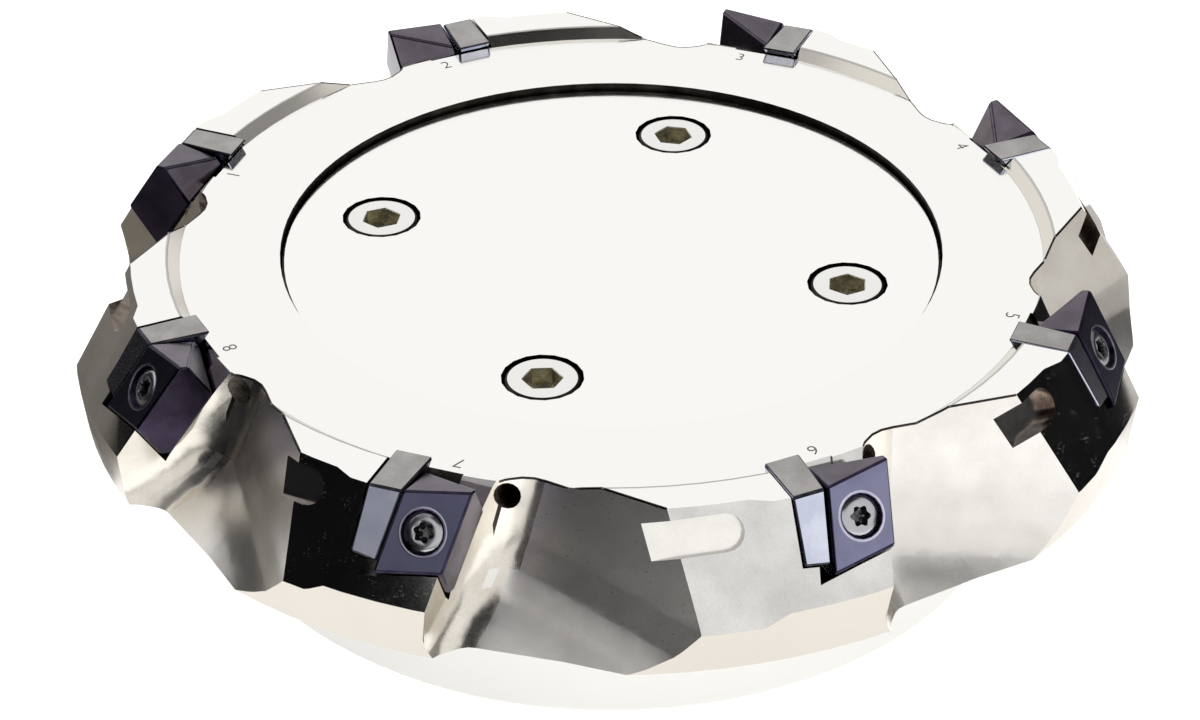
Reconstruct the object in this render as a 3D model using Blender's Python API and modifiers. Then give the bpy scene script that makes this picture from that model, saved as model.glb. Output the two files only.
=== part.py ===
"""Indexable tangential face mill: a turned and milled body, eight pockets with
tangential inserts and their shims, and a coolant cap held by four screws.

The origin is the centre of the mounting face, +Z is the spindle axis towards the
work, and the cutter turns counter-clockwise seen from +Z.
"""

import math

import bmesh
import bpy
from mathutils import Matrix, Vector

# Driving dimensions, in metres and degrees
CUT_DIAMETER = 0.200
NOSE_HEIGHT = 0.063
TOOTH_PITCH = 45.0
FIRST_TOOTH = 181.58
PITCH_SHIFTS = (-0.63, -0.55, -1.01, 1.62, -0.68, 0.55, -0.86, 1.56)

# Body, turned: heights go down from the insert noses, radii in or out from their circle
FACE_DROP = 0.00415
LAND_RISE = 0.0020
LAND_OUTSET = 0.0011
LAND_WIDTH = 0.0092
STEP_WIDTH = 0.00245
RIM_OUTSET = 0.01235
RIM_DROP = 0.0160
RIM_TAPER = 0.00145
RIM_THICKNESS = 0.01165
HUB_RADIUS = 0.0837
HUB_FILLET = 0.006
HUB_CHAMFER = 0.0019

# Body, hidden side: bore, drive slot, four clamping bolts on their circle
BORE_DIAMETER = 0.060
BORE_CHAMFER = 0.001
DRIVE_SLOT_WIDTH = 0.0257
DRIVE_SLOT_DEPTH = 0.014
BOLT_CIRCLE = 0.1016
BOLT_HOLE = 0.018
BOLT_COUNTERBORE = 0.028
BOLT_SEAT_HEIGHT = 0.022
CORE_RADIUS = 0.038
CORE_DEPTH = 0.0129
GROOVE_INNER_RADIUS = 0.0570
GROOVE_OUTER_RADIUS = 0.0650
GROOVE_DEPTH = 0.0139

# Coolant cap and its low-head hexagon socket screws
CAP_RADIUS = 0.0684
CAP_THICKNESS = 0.010
CAP_DROP = 0.00165
CAP_CHAMFER = 0.0005
CAP_SCREW_CIRCLE = 0.1006
CAP_SCREW_HEAD = 0.016
CAP_SCREW_HEAD_HEIGHT = 0.006
CAP_SCREW_CHAMFER = 0.0006
CAP_SCREW_DROP = 0.0002
CAP_SCREW_SHANK = 0.010
CAP_SCREW_POINT = 0.001
CAP_SCREW_LENGTH = 0.020
CAP_SCREW_HEX = 0.007
CAP_SCREW_HEX_DEPTH = 0.0038
CAP_SCREW_TURNS = (12.0, 34.0, 7.0, 49.0)

# Insert: cutting edge, width along the tooth, depth to its flat bottom
EDGE_ANGLE = 57.2
AXIAL_RAKE = 13.0
INSERT_DROP = 7.7
EDGE_LENGTH = 0.0164
INSERT_WIDTH = 0.0138
INSERT_DEPTH = 0.0104
SIDE_FLARE = 0.459
WIPER_WIDTH = 0.0015
WIPER_RUNOUT = 0.0018
CORNER_CHAMFER = 0.0035
EDGE_ROUNDING = 0.00035
INSERT_BORE = 0.0058

# Shim behind the insert
SHIM_THICKNESS = 0.0069
SHIM_FOOT_THICKNESS = 0.0055
SHIM_FOOT = 0.0190
SHIM_BEND = 0.0057
SHIM_DROP = 0.0004
SHIM_DEPTH = 0.0109
SHIM_SCREW_DOWN = 0.0112

# Insert screw and shim screw
SCREW_HEAD = 0.0080
SCREW_CONE_DEPTH = 0.0030
SCREW_RIM = 0.0008
SCREW_SHANK = 0.0050
SCREW_LENGTH = 0.018
SCREW_DROP = 0.0004
SHIM_SCREW_HEAD = 0.0064
SHIM_SCREW_SHANK = 0.0042
SHIM_SCREW_RIM = 0.0006
SHIM_SCREW_CONE = 0.0022
SHIM_SCREW_LENGTH = 0.011
TORX_DIAMETER = 0.0039
SHIM_TORX_DIAMETER = 0.0033
TORX_DEPTH = 0.0024
SHIM_TORX_DEPTH = 0.0020
LOBE_SHARE = 0.74

# Gullet: back wall, sloping floor, the bowl between them and the mill that cut them
FRONT_SETBACK = 0.0010
BACK_INSET = 0.0158
BACK_LEAN = 0.36
BACK_SKEW = 0.26
FLOOR_SLOPE = 30.0
FLOOR_EXIT = 0.0055
BOWL_REACH = 0.0065
GULLET_RADIUS = 0.0080
GULLET_RUN = 0.055

# Relieved flank behind each pocket, and the slot milled into it
LAND_RELIEF = 0.0018
RIM_RELIEF = 0.00015
RELIEF_DROP = 0.0031
RELIEF_START = 13.6
RELIEF_FULL = 16.5
RELIEF_END = 30.0
SLOT_WIDTH = 0.0073
SLOT_DEPTH = 0.0031
SLOT_END = 19.4
SLOT_RUNOUT = 31.0
SLOT_DROP = 0.0047
SLOT_FALL = 0.0013

# Coolant hole that leaves each gullet, from the groove under the cap
COOLANT_HOLE = 0.0050
COOLANT_INSET = 0.0117
COOLANT_SIDE = 0.0033
COOLANT_DROP = 0.00375
COOLANT_RISE = 0.0050

# Clearances and fineness
SEAT_GAP = 0.0003
FIT_GAP = 0.0003
HOLE_GAP = 0.0003
POINT_GAP = 0.001
START_GAP = 0.0003
OVERCUT = 0.012
SHORT_OVERCUT = 0.004
STEPS = 96
HIDDEN_STEPS = 36
ROUND_STEPS = 16
SMALL_STEPS = 10
HOLE_STEPS = 18
BALL_STEPS = 20
BOWL_STEPS = 3

TEETH = len(PITCH_SHIFTS)
NOSE_RADIUS = CUT_DIAMETER / 2
FACE_HEIGHT = NOSE_HEIGHT - FACE_DROP
LAND_HEIGHT = FACE_HEIGHT + LAND_RISE
LAND_RADIUS = NOSE_RADIUS + LAND_OUTSET
STEP_TOP_RADIUS = LAND_RADIUS - LAND_WIDTH
STEP_FOOT_RADIUS = STEP_TOP_RADIUS - STEP_WIDTH
RIM_RADIUS = NOSE_RADIUS + RIM_OUTSET
RIM_TOP_HEIGHT = FACE_HEIGHT - RIM_DROP
RIM_FOOT_RADIUS = RIM_RADIUS - RIM_TAPER
RIM_FOOT_HEIGHT = RIM_TOP_HEIGHT - RIM_THICKNESS
RELIEVED_LAND_RADIUS = LAND_RADIUS - LAND_RELIEF
RELIEVED_RIM_RADIUS = RIM_RADIUS - RIM_RELIEF
RELIEVED_RIM_HEIGHT = RIM_TOP_HEIGHT - RELIEF_DROP
CAP_TOP = FACE_HEIGHT - CAP_DROP
CAP_BOTTOM = CAP_TOP - CAP_THICKNESS
LEDGE_HEIGHT = CAP_BOTTOM - FIT_GAP
FACE_BORE_RADIUS = CAP_RADIUS + FIT_GAP
CORE_FLOOR = LEDGE_HEIGHT - CORE_DEPTH
GROOVE_FLOOR = LEDGE_HEIGHT - GROOVE_DEPTH


def collection(name):
    made = bpy.data.collections.new(name)
    bpy.context.scene.collection.children.link(made)
    return made


def material(name, colour, roughness, metallic=1.0):
    made = bpy.data.materials.new(name)
    made.use_nodes = True
    shader = made.node_tree.nodes["Principled BSDF"]
    shader.inputs["Base Color"].default_value = (*colour, 1.0)
    shader.inputs["Roughness"].default_value = roughness
    shader.inputs["Metallic"].default_value = metallic
    return made


def place(name, mesh, home, matrix=None, finish=None):
    obj = bpy.data.objects.new(name, mesh)
    if matrix is not None:
        obj.matrix_world = matrix
    if finish is not None and not mesh.materials:
        mesh.materials.append(finish)
    home.objects.link(obj)
    return obj


def as_mesh(name, bm):
    bmesh.ops.recalc_face_normals(bm, faces=bm.faces)
    mesh = bpy.data.meshes.new(name)
    bm.to_mesh(mesh)
    bm.free()
    return mesh


def smooth(mesh, angle=32.0):
    mesh.shade_smooth()
    mesh.set_sharp_from_angle(angle=math.radians(angle))


def cutter(name, mesh, matrix=None):
    obj = place(name, mesh, CUTTERS, matrix)
    obj.hide_render = True
    obj.display_type = "WIRE"
    return obj


def cut(obj, tool):
    step = obj.modifiers.new("Cut " + tool.name, "BOOLEAN")
    step.operation = "DIFFERENCE"
    step.solver = "EXACT"
    step.object = tool


def frozen(obj, name):
    """The mesh that the object's modifiers make, so that copies can share it."""
    bpy.context.view_layer.update()
    graph = bpy.context.evaluated_depsgraph_get()
    mesh = bpy.data.meshes.new_from_object(obj.evaluated_get(graph))
    mesh.name = name
    return mesh


def screwed(name, profile, steps=STEPS, closed=True):
    """A mesh turned about Z from (radius, height) points that run top to bottom outside."""
    bm = bmesh.new()
    points = [bm.verts.new((radius, 0.0, height)) for radius, height in profile]
    for first, second in zip(points, points[1:]):
        bm.edges.new((first, second))
    if closed:
        bm.edges.new((points[-1], points[0]))
    mesh = bpy.data.meshes.new(name)
    bm.to_mesh(mesh)
    bm.free()
    obj = cutter(name, mesh)
    turn = obj.modifiers.new("Turn", "SCREW")
    turn.axis = "Z"
    turn.steps = steps
    turn.render_steps = steps
    turn.use_merge_vertices = True
    turn.merge_threshold = 0.00001
    turn.use_smooth_shade = False
    return obj


def turned(name, profile, steps=STEPS, closed=True):
    source = screwed(name + " profile", profile, steps, closed)
    mesh = frozen(source, name)
    bpy.data.objects.remove(source)
    return mesh


def arc(centre, radius, start, end, count):
    """Points of a circle about centre, from start to end degrees."""
    angles = [math.radians(start + (end - start) * i / count) for i in range(count + 1)]
    return [(centre[0] + radius * math.cos(a), centre[1] + radius * math.sin(a)) for a in angles]


def cylinder(radius, start, end, segments=ROUND_STEPS):
    """A bmesh cylinder from one point to another."""
    start = Vector(start)
    end = Vector(end)
    along = end - start
    bm = bmesh.new()
    bmesh.ops.create_cone(
        bm, cap_ends=True, segments=segments, depth=along.length,
        radius1=radius, radius2=radius,
    )
    turn = along.to_track_quat("Z", "Y").to_matrix().to_4x4()
    bmesh.ops.transform(bm, matrix=Matrix.Translation((start + end) / 2) @ turn, verts=bm.verts)
    return bm


def block_by_planes(planes, size=0.06):
    """A cube cut down by (point, outward normal) planes."""
    bm = bmesh.new()
    bmesh.ops.create_cube(bm, size=size)
    for point, normal in planes:
        geometry = bm.verts[:] + bm.edges[:] + bm.faces[:]
        bmesh.ops.bisect_plane(
            bm, geom=geometry, dist=1e-7, plane_co=point, plane_no=normal, clear_outer=True
        )
        bmesh.ops.holes_fill(bm, edges=bm.edges, sides=0)
    return bm


def around_teeth(name, mesh, local=None):
    """One cutter that holds a copy of the mesh at every tooth."""
    bm = bmesh.new()
    for tooth in range(TEETH):
        piece = mesh.copy()
        matrix = tooth_matrix(tooth)
        piece.transform(matrix @ local if local is not None else matrix)
        bm.from_mesh(piece)
        bpy.data.meshes.remove(piece)
    return cutter(name, as_mesh(name, bm))


def tooth_matrix(tooth):
    """Turns the tooth frame, X out through the nose and Y ahead of it, to its place."""
    angle = FIRST_TOOTH - TOOTH_PITCH * tooth + PITCH_SHIFTS[tooth]
    return Matrix.Rotation(math.radians(angle), 4, "Z")


def pocket_matrix():
    """The insert's frame in its tooth: X back along the tooth, Y down the cutting edge, Z out."""
    edge = math.radians(EDGE_ANGLE)
    rake = math.radians(AXIAL_RAKE)
    drop = math.radians(INSERT_DROP)
    down = Vector((math.cos(rake) * math.cos(edge), -math.sin(rake), -math.cos(rake) * math.sin(edge)))
    back = Vector((0.0, -math.cos(drop), -math.sin(drop)))
    out = back.cross(down).normalized()
    across = down.cross(out)
    frame = Matrix((across, down, out)).transposed().to_4x4()
    frame.translation = Vector((NOSE_RADIUS, 0.0, NOSE_HEIGHT))
    return frame


def insert_corners():
    """The insert's far corner along its width, and the sum of its opposite corners."""
    frame = pocket_matrix()
    drop = math.radians(INSERT_DROP)
    back = Vector((0.0, -math.cos(drop), -math.sin(drop)))
    along = frame.to_3x3().inverted() @ back * INSERT_WIDTH
    return along, Vector((along.x, along.y + EDGE_LENGTH, -INSERT_DEPTH))


def side_planes(gap=0.0):
    """The flared top and bottom planes of the insert, moved outwards by gap."""
    along, far = insert_corners()
    top = along.cross(Vector((0.0, -SIDE_FLARE, -1.0))).normalized()
    top = -top if top.y > 0 else top
    bottom = along.cross(Vector((0.0, SIDE_FLARE, -1.0))).normalized()
    bottom = -bottom if bottom.y < 0 else bottom
    return (top * gap, top), (Vector((0.0, EDGE_LENGTH, 0.0)) + bottom * gap, bottom)


def insert_mesh():
    along, far = insert_corners()
    wiper = Vector((0.0, -SIDE_FLARE * WIPER_WIDTH, -WIPER_WIDTH))
    foot = Vector((0.0, CORNER_CHAMFER, -INSERT_DEPTH))
    rear_depth = INSERT_DEPTH - WIPER_RUNOUT
    rear = along + Vector((0.0, -SIDE_FLARE * rear_depth, -rear_depth))
    corner = (foot - wiper).cross(rear - wiper).normalized()
    corner = -corner if corner.y > 0 else corner
    turned_point = Vector((along.x, along.y + EDGE_LENGTH, 0.0)) - Vector((wiper.x, wiper.y, 0.0))
    turned_point.z = wiper.z
    planes = [
        (Vector((0.0, 0.0, 0.0)), Vector((-1.0, 0.0, 0.0))),
        (along, Vector((1.0, 0.0, 0.0))),
        (Vector((0.0, 0.0, 0.0)), Vector((0.0, 0.0, 1.0))),
        (far, Vector((0.0, 0.0, -1.0))),
        *side_planes(),
        (wiper, corner),
        (turned_point, Vector((-corner.x, -corner.y, corner.z))),
    ]
    bm = block_by_planes(planes)
    bmesh.ops.bevel(
        bm, geom=bm.edges[:], offset=EDGE_ROUNDING, segments=1, affect="EDGES", clamp_overlap=True
    )
    blank = cutter("Insert blank", as_mesh("insert", bm))
    centre = insert_centre()
    cut(blank, screw_clearance("Insert bore", centre, SCREW_HEAD, INSERT_BORE, SCREW_RIM, SCREW_CONE_DEPTH))
    mesh = frozen(blank, "insert")
    smooth(mesh)
    return mesh


def insert_centre():
    along, far = insert_corners()
    return Vector((far.x / 2, far.y / 2, 0.0))


def screw_profile(head, shank, rim, cone, length, gap=0.0):
    """A countersunk screw from its head down, with its head's face at height zero."""
    chamfer = shank / 8
    return [
        (0.0, gap * 4),
        (head / 2 + gap, gap * 4),
        (head / 2 + gap, -rim),
        (shank / 2 + gap, -rim - cone),
        (shank / 2 + gap, -length + chamfer),
        (shank / 2 - chamfer, -length),
        (0.0, -length),
    ]


def screw_clearance(name, centre, head, bore, rim, cone, steps=ROUND_STEPS):
    """The countersunk hole for a screw, along -Z through the centre."""
    profile = screw_profile(head + 2 * HOLE_GAP, bore, rim + SCREW_DROP, cone, OVERCUT * 2)
    profile[0] = (0.0, OVERCUT)
    profile[1] = (head / 2 + HOLE_GAP, OVERCUT)
    mesh = turned(name, profile, steps, closed=False)
    return cutter(name, mesh, Matrix.Translation(centre))


def lobed_socket(name, diameter, depth):
    """A six-lobed recess cutter whose bottom lies at -depth."""
    bm = bmesh.new()
    bmesh.ops.create_cone(
        bm, cap_ends=True, segments=12, depth=depth * 2, radius1=diameter / 2, radius2=diameter / 2
    )
    for vertex in bm.verts:
        turn = round(math.degrees(math.atan2(vertex.co.y, vertex.co.x)) / 30.0)
        if turn % 2:
            vertex.co.x *= LOBE_SHARE
            vertex.co.y *= LOBE_SHARE
    return cutter(name, as_mesh(name, bm))


def screw_mesh(name, head, shank, rim, cone, length, socket, depth, steps):
    profile = screw_profile(head, shank, rim, cone, length)
    blank = cutter(name + " blank", turned(name, profile, steps, closed=False))
    cut(blank, lobed_socket(name + " socket", socket, depth))
    mesh = frozen(blank, name)
    smooth(mesh)
    return mesh


def shim_planes(gap=0.0):
    """The shim's outline in the pocket frame, moved outwards by gap; its top is level with the land."""
    along, far = insert_corners()
    to_local = pocket_matrix().inverted()
    front = along.x + SEAT_GAP
    top = to_local @ Vector((NOSE_RADIUS, 0.0, LAND_HEIGHT))
    foot = Vector((front + SHIM_FOOT_THICKNESS, SHIM_FOOT, 0.0))
    head = Vector((front + SHIM_THICKNESS, SHIM_BEND, 0.0))
    back = (foot - head).cross(Vector((0.0, 0.0, 1.0))).normalized()
    back = -back if back.x < 0 else back
    return {
        "front": (Vector((front, 0.0, 0.0)), Vector((-1.0, 0.0, 0.0))),
        "back": (foot + back * gap, back),
        "top": (top, to_local.to_3x3() @ Vector((0.0, 0.0, 1.0))),
        "foot": (foot + Vector((0.0, gap, 0.0)), Vector((0.0, 1.0, 0.0))),
        "outer": (Vector((0.0, 0.0, -SHIM_DROP)), Vector((0.0, 0.0, 1.0))),
        "seat": (Vector((0.0, 0.0, -SHIM_DEPTH)), Vector((0.0, 0.0, -1.0))),
    }


def shim_mesh():
    bm = block_by_planes(shim_planes().values())
    bmesh.ops.bevel(
        bm, geom=bm.edges[:], offset=EDGE_ROUNDING, segments=1, affect="EDGES", clamp_overlap=True
    )
    blank = cutter("Shim blank", as_mesh("shim", bm))
    hole = screw_clearance(
        "Shim bore", Vector(), SHIM_SCREW_HEAD, SHIM_SCREW_SHANK + 2 * HOLE_GAP, SHIM_SCREW_RIM,
        SHIM_SCREW_CONE, SMALL_STEPS,
    )
    hole.matrix_world = shim_screw_matrix()
    cut(blank, hole)
    mesh = frozen(blank, "shim")
    smooth(mesh)
    return mesh


def shim_screw_matrix():
    """The shim screw's frame in the pocket frame: its head faces the insert."""
    along, far = insert_corners()
    turn = Vector((-1.0, 0.0, 0.0)).to_track_quat("Z", "Y").to_matrix().to_4x4()
    return Matrix.Translation((along.x + SEAT_GAP, SHIM_SCREW_DOWN, far.z / 2)) @ turn


def close_slivers(mesh, distance=0.000002):
    """Joins points that cuts left almost together."""
    bm = bmesh.new()
    bm.from_mesh(mesh)
    bmesh.ops.remove_doubles(bm, verts=bm.verts, dist=distance)
    bmesh.ops.dissolve_degenerate(bm, dist=distance, edges=bm.edges)
    bmesh.ops.triangulate(bm, faces=bm.faces, quad_method="BEAUTY", ngon_method="BEAUTY")
    bm.to_mesh(mesh)
    bm.free()


def body_blank():
    """The turned body before milling, as a ring round its bore."""
    bore = BORE_DIAMETER / 2
    hub_corner = (HUB_RADIUS + HUB_FILLET, RIM_FOOT_HEIGHT - HUB_FILLET)
    profile = [
        (bore, FACE_HEIGHT),
        (STEP_FOOT_RADIUS, FACE_HEIGHT),
        (STEP_TOP_RADIUS, LAND_HEIGHT),
        (LAND_RADIUS, LAND_HEIGHT),
        (RIM_RADIUS, RIM_TOP_HEIGHT),
        (RIM_FOOT_RADIUS, RIM_FOOT_HEIGHT),
        *arc(hub_corner, HUB_FILLET, 90.0, 180.0, 4),
        (HUB_RADIUS, HUB_CHAMFER),
        (HUB_RADIUS - HUB_CHAMFER, 0.0),
        (bore + BORE_CHAMFER, 0.0),
        (bore, BORE_CHAMFER),
    ]
    return turned("cutter_body", profile)


def cut_chamber(body):
    """The recess for the cap, the core round the bolts and the coolant groove."""
    above = LEDGE_HEIGHT + FIT_GAP
    recess = [
        (0.0, FACE_HEIGHT + OVERCUT),
        (FACE_BORE_RADIUS, FACE_HEIGHT + OVERCUT),
        (FACE_BORE_RADIUS, LEDGE_HEIGHT),
        (0.0, LEDGE_HEIGHT),
    ]
    cut(body, cutter("Cap recess", turned("Cap recess", recess, closed=False)))
    core = [(0.0, above), (CORE_RADIUS, above), (CORE_RADIUS, CORE_FLOOR), (0.0, CORE_FLOOR)]
    cut(body, cutter("Core", turned("Core", core, HIDDEN_STEPS, closed=False)))
    groove = [
        (GROOVE_INNER_RADIUS, above),
        (GROOVE_OUTER_RADIUS, above),
        (GROOVE_OUTER_RADIUS, GROOVE_FLOOR),
        (GROOVE_INNER_RADIUS, GROOVE_FLOOR),
    ]
    cut(body, cutter("Coolant groove", turned("Coolant groove", groove, HIDDEN_STEPS)))


def on_circle(diameter, degrees, height):
    angle = math.radians(degrees)
    return Vector((diameter / 2 * math.cos(angle), diameter / 2 * math.sin(angle), height))


def post_holes(name, circle, first, steps_down):
    """Four holes round the axis; steps_down lists (diameter, bottom, top) from each centre."""
    for number, (diameter, bottom, top) in enumerate(steps_down, 1):
        bm = bmesh.new()
        for quarter in range(4):
            low = on_circle(circle, first + 90.0 * quarter, bottom)
            high = on_circle(circle, first + 90.0 * quarter, top)
            hole = cylinder(diameter / 2, low, high, HOLE_STEPS)
            mesh = as_mesh(name, hole)
            bm.from_mesh(mesh)
            bpy.data.meshes.remove(mesh)
        yield cutter(f"{name} {number}", as_mesh(name, bm))


def cut_mounting(body):
    """The drive slot across the back and the four counterbored clamping holes."""
    bm = bmesh.new()
    bmesh.ops.create_cube(bm, size=1.0)
    depth = DRIVE_SLOT_DEPTH + OVERCUT
    bmesh.ops.scale(bm, vec=(HUB_RADIUS * 3, DRIVE_SLOT_WIDTH, depth), verts=bm.verts)
    bmesh.ops.translate(bm, vec=(0.0, 0.0, DRIVE_SLOT_DEPTH - depth / 2), verts=bm.verts)
    cut(body, cutter("Drive slot", as_mesh("Drive slot", bm)))
    steps_down = (
        (BOLT_HOLE, -OVERCUT, BOLT_SEAT_HEIGHT + FIT_GAP),
        (BOLT_COUNTERBORE, BOLT_SEAT_HEIGHT, LEDGE_HEIGHT + 2 * FIT_GAP),
    )
    for hole in post_holes("Bolt hole", BOLT_CIRCLE, 45.0, steps_down):
        cut(body, hole)
    head_bottom = CAP_TOP - CAP_SCREW_DROP - CAP_SCREW_HEAD_HEIGHT
    screw_point = head_bottom - CAP_SCREW_LENGTH
    thread = (
        (CAP_SCREW_SHANK + 2 * HOLE_GAP, screw_point - POINT_GAP, LEDGE_HEIGHT + 3 * FIT_GAP),
    )
    for hole in post_holes("Cap thread", CAP_SCREW_CIRCLE, 0.0, thread):
        cut(body, hole)


def hull_of(points):
    """The convex solid round the points."""
    bm = bmesh.new()
    for point in points:
        bm.verts.new(point)
    bmesh.ops.convex_hull(bm, input=bm.verts[:])
    loose = [vertex for vertex in bm.verts if not vertex.link_faces]
    bmesh.ops.delete(bm, geom=loose, context="VERTS")
    bmesh.ops.dissolve_limit(bm, angle_limit=0.002, verts=bm.verts, edges=bm.edges)
    return bm


def points_of(bm):
    points = [vertex.co.copy() for vertex in bm.verts]
    bm.free()
    return points


def mill_path(centres, radius, segments=BALL_STEPS):
    """The space that a ball-nosed mill clears between the given centres of its ball."""
    points = []
    for centre in centres:
        bm = bmesh.new()
        bmesh.ops.create_uvsphere(
            bm, u_segments=segments, v_segments=segments // 2, radius=radius,
            matrix=Matrix.Translation(centre),
        )
        points += points_of(bm)
    return hull_of(points)


def gullet_mesh():
    """The gullet in its tooth frame, as the path of one ball-nosed mill.

    The ball touches a front wall parallel to the rake face, a leaning back wall and a
    floor that falls outwards to the disc's lower edge, and rounds a bowl between them.
    """
    front = pocket_matrix().to_3x3() @ Vector((-1.0, 0.0, 0.0))
    slope = math.radians(FLOOR_SLOPE)
    floor = Vector((math.sin(slope), 0.0, math.cos(slope)))
    back = Vector((1.0, -BACK_SKEW, BACK_LEAN)).normalized()
    nose = Vector((NOSE_RADIUS, 0.0, NOSE_HEIGHT))
    walls = (
        (front, nose - front * FRONT_SETBACK),
        (back, Vector((NOSE_RADIUS - BACK_INSET, 0.0, FACE_HEIGHT))),
        (floor, Vector((RIM_FOOT_RADIUS - FLOOR_EXIT, 0.0, RIM_FOOT_HEIGHT))),
    )
    normals = Matrix([normal for normal, point in walls])
    levels = Vector([normal.dot(point) + GULLET_RADIUS for normal, point in walls])
    corner = normals.inverted() @ levels
    up = front.cross(back)
    up *= (FACE_HEIGHT + OVERCUT * 2 - corner.z) / up.z
    out = floor.cross(front)
    out *= NOSE_RADIUS / 2 / out.x
    behind = back.cross(floor)
    behind *= GULLET_RUN / behind.y
    path = [up, out, up + out]
    for i in range(BOWL_STEPS + 1):
        share = i / BOWL_STEPS
        wall = up.normalized() * BOWL_REACH * (1.0 - share) ** 2
        path.append(wall + out.normalized() * BOWL_REACH * share ** 2)
    centres = [corner + step + run for step in path for run in (Vector(), behind)]
    return as_mesh("Gullet", mill_path(centres, GULLET_RADIUS))


def polar(radius, degrees, height):
    angle = math.radians(degrees)
    return Vector((radius * math.cos(angle), radius * math.sin(angle), height))


def lofted(sections):
    """A closed solid through equal-count sections, with a face on each end."""
    bm = bmesh.new()
    rings = [[bm.verts.new(point) for point in section] for section in sections]
    for first, second in zip(rings, rings[1:]):
        for i in range(len(first)):
            j = (i + 1) % len(first)
            bm.faces.new((first[i], first[j], second[j], second[i]))
    bm.faces.new(rings[0])
    bm.faces.new(rings[-1])
    return bm


def flank_line(top, foot, gap=0.0):
    """Two (radius, height) points of a flank, run past both ends and moved outwards by gap."""
    top = Vector(top)
    foot = Vector(foot)
    along = (foot - top).normalized()
    out = Vector((-along.y, along.x))
    beyond = along * SHORT_OVERCUT
    return top - beyond + out * gap, foot + beyond + out * gap


def relief_mesh():
    """What is milled off the flank behind the pocket."""
    full = flank_line(
        (RELIEVED_LAND_RADIUS, LAND_HEIGHT), (RELIEVED_RIM_RADIUS, RELIEVED_RIM_HEIGHT)
    )
    start = flank_line((LAND_RADIUS, LAND_HEIGHT), (RIM_RADIUS, RIM_TOP_HEIGHT), START_GAP)
    count = 4
    angles = [-RELIEF_START]
    angles += [-RELIEF_FULL - (RELIEF_END - RELIEF_FULL) * i / count for i in range(count + 1)]
    sections = []
    for i, angle in enumerate(angles):
        top, foot = full if i else start
        outside = RIM_RADIUS + OVERCUT
        outline = ((top.x, top.y), (foot.x, foot.y), (outside, foot.y), (outside, top.y))
        sections.append([polar(radius, angle, height) for radius, height in outline])
    return as_mesh("Relief", lofted(sections))


def slot_mesh():
    """The round-ended slot along the relieved flank, open into the gullet behind."""
    top = Vector((RELIEVED_LAND_RADIUS, LAND_HEIGHT))
    foot = Vector((RELIEVED_RIM_RADIUS, RELIEVED_RIM_HEIGHT))
    along = (foot - top).normalized()
    middle = -(SLOT_END + SLOT_RUNOUT) / 2
    out = polar(-along.y, middle, along.x)
    points = []
    for angle, drop in ((-SLOT_END, SLOT_DROP), (-SLOT_RUNOUT, SLOT_DROP + SLOT_FALL)):
        radius = top.x - along.x / along.y * drop
        surface = polar(radius, angle, LAND_HEIGHT - drop)
        low = surface - out * SLOT_DEPTH
        points += points_of(cylinder(SLOT_WIDTH / 2, low, surface + out * OVERCUT, ROUND_STEPS))
    return as_mesh("Slot", hull_of(points))


def pocket_mesh():
    """The room for the insert, open outwards, upwards and into the gullet."""
    along, far = insert_corners()
    seat = (far + Vector((0.0, 0.0, -SEAT_GAP)), Vector((0.0, 0.0, -1.0)))
    bottom = side_planes(SEAT_GAP)[1]
    back = (along + Vector((SHIM_FOOT_THICKNESS / 2, 0.0, 0.0)), Vector((1.0, 0.0, 0.0)))
    front = (Vector((-OVERCUT, 0.0, 0.0)), Vector((-1.0, 0.0, 0.0)))
    return as_mesh("Pocket", block_by_planes([seat, bottom, back, front]))


def shim_pocket_mesh():
    planes = shim_planes(SEAT_GAP)
    point, normal = planes["seat"]
    along, far = insert_corners()
    front = (along / 2, Vector((-1.0, 0.0, 0.0)))
    seat = (point + normal * SEAT_GAP, normal)
    return as_mesh("Shim pocket", block_by_planes([planes["back"], planes["foot"], seat, front]))


def coolant_mesh():
    exit_point = Vector((NOSE_RADIUS - COOLANT_INSET, COOLANT_SIDE, FACE_HEIGHT - COOLANT_DROP))
    groove = (GROOVE_INNER_RADIUS + GROOVE_OUTER_RADIUS) / 2
    start = Vector((groove, 0.0, GROOVE_FLOOR + COOLANT_RISE))
    onward = (exit_point - start).normalized() * SHORT_OVERCUT
    return as_mesh("Coolant", cylinder(COOLANT_HOLE / 2, start, exit_point + onward, ROUND_STEPS))


def thread_meshes():
    """The threaded holes under the insert screw and, in its own frame, the shim screw."""
    centre = insert_centre()
    deep = Vector((0.0, 0.0, -SCREW_DROP - SCREW_LENGTH - POINT_GAP))
    middle = Vector((0.0, 0.0, -INSERT_DEPTH / 2))
    radius = SCREW_SHANK / 2 + HOLE_GAP
    yield as_mesh("Insert thread", cylinder(radius, centre + deep, centre + middle))
    deep = Vector((0.0, 0.0, -SHIM_SCREW_LENGTH - POINT_GAP))
    middle = Vector((0.0, 0.0, -SHIM_FOOT_THICKNESS / 2))
    radius = SHIM_SCREW_SHANK / 2 + HOLE_GAP
    yield as_mesh("Shim thread", cylinder(radius, deep, middle, SMALL_STEPS))


def cut_teeth(body):
    """The threads come before the pockets, which open them."""
    pocket = pocket_matrix()
    insert_thread, shim_thread = thread_meshes()
    cut(body, around_teeth("Insert threads", insert_thread, pocket))
    cut(body, around_teeth("Shim threads", shim_thread, pocket @ shim_screw_matrix()))
    cut(body, around_teeth("Flank relief", relief_mesh()))
    cut(body, around_teeth("Flank slots", slot_mesh()))
    cut(body, around_teeth("Gullets", gullet_mesh()))
    cut(body, around_teeth("Insert pockets", pocket_mesh(), pocket))
    cut(body, around_teeth("Shim pockets", shim_pocket_mesh(), pocket))
    cut(body, around_teeth("Coolant holes", coolant_mesh()))


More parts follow.
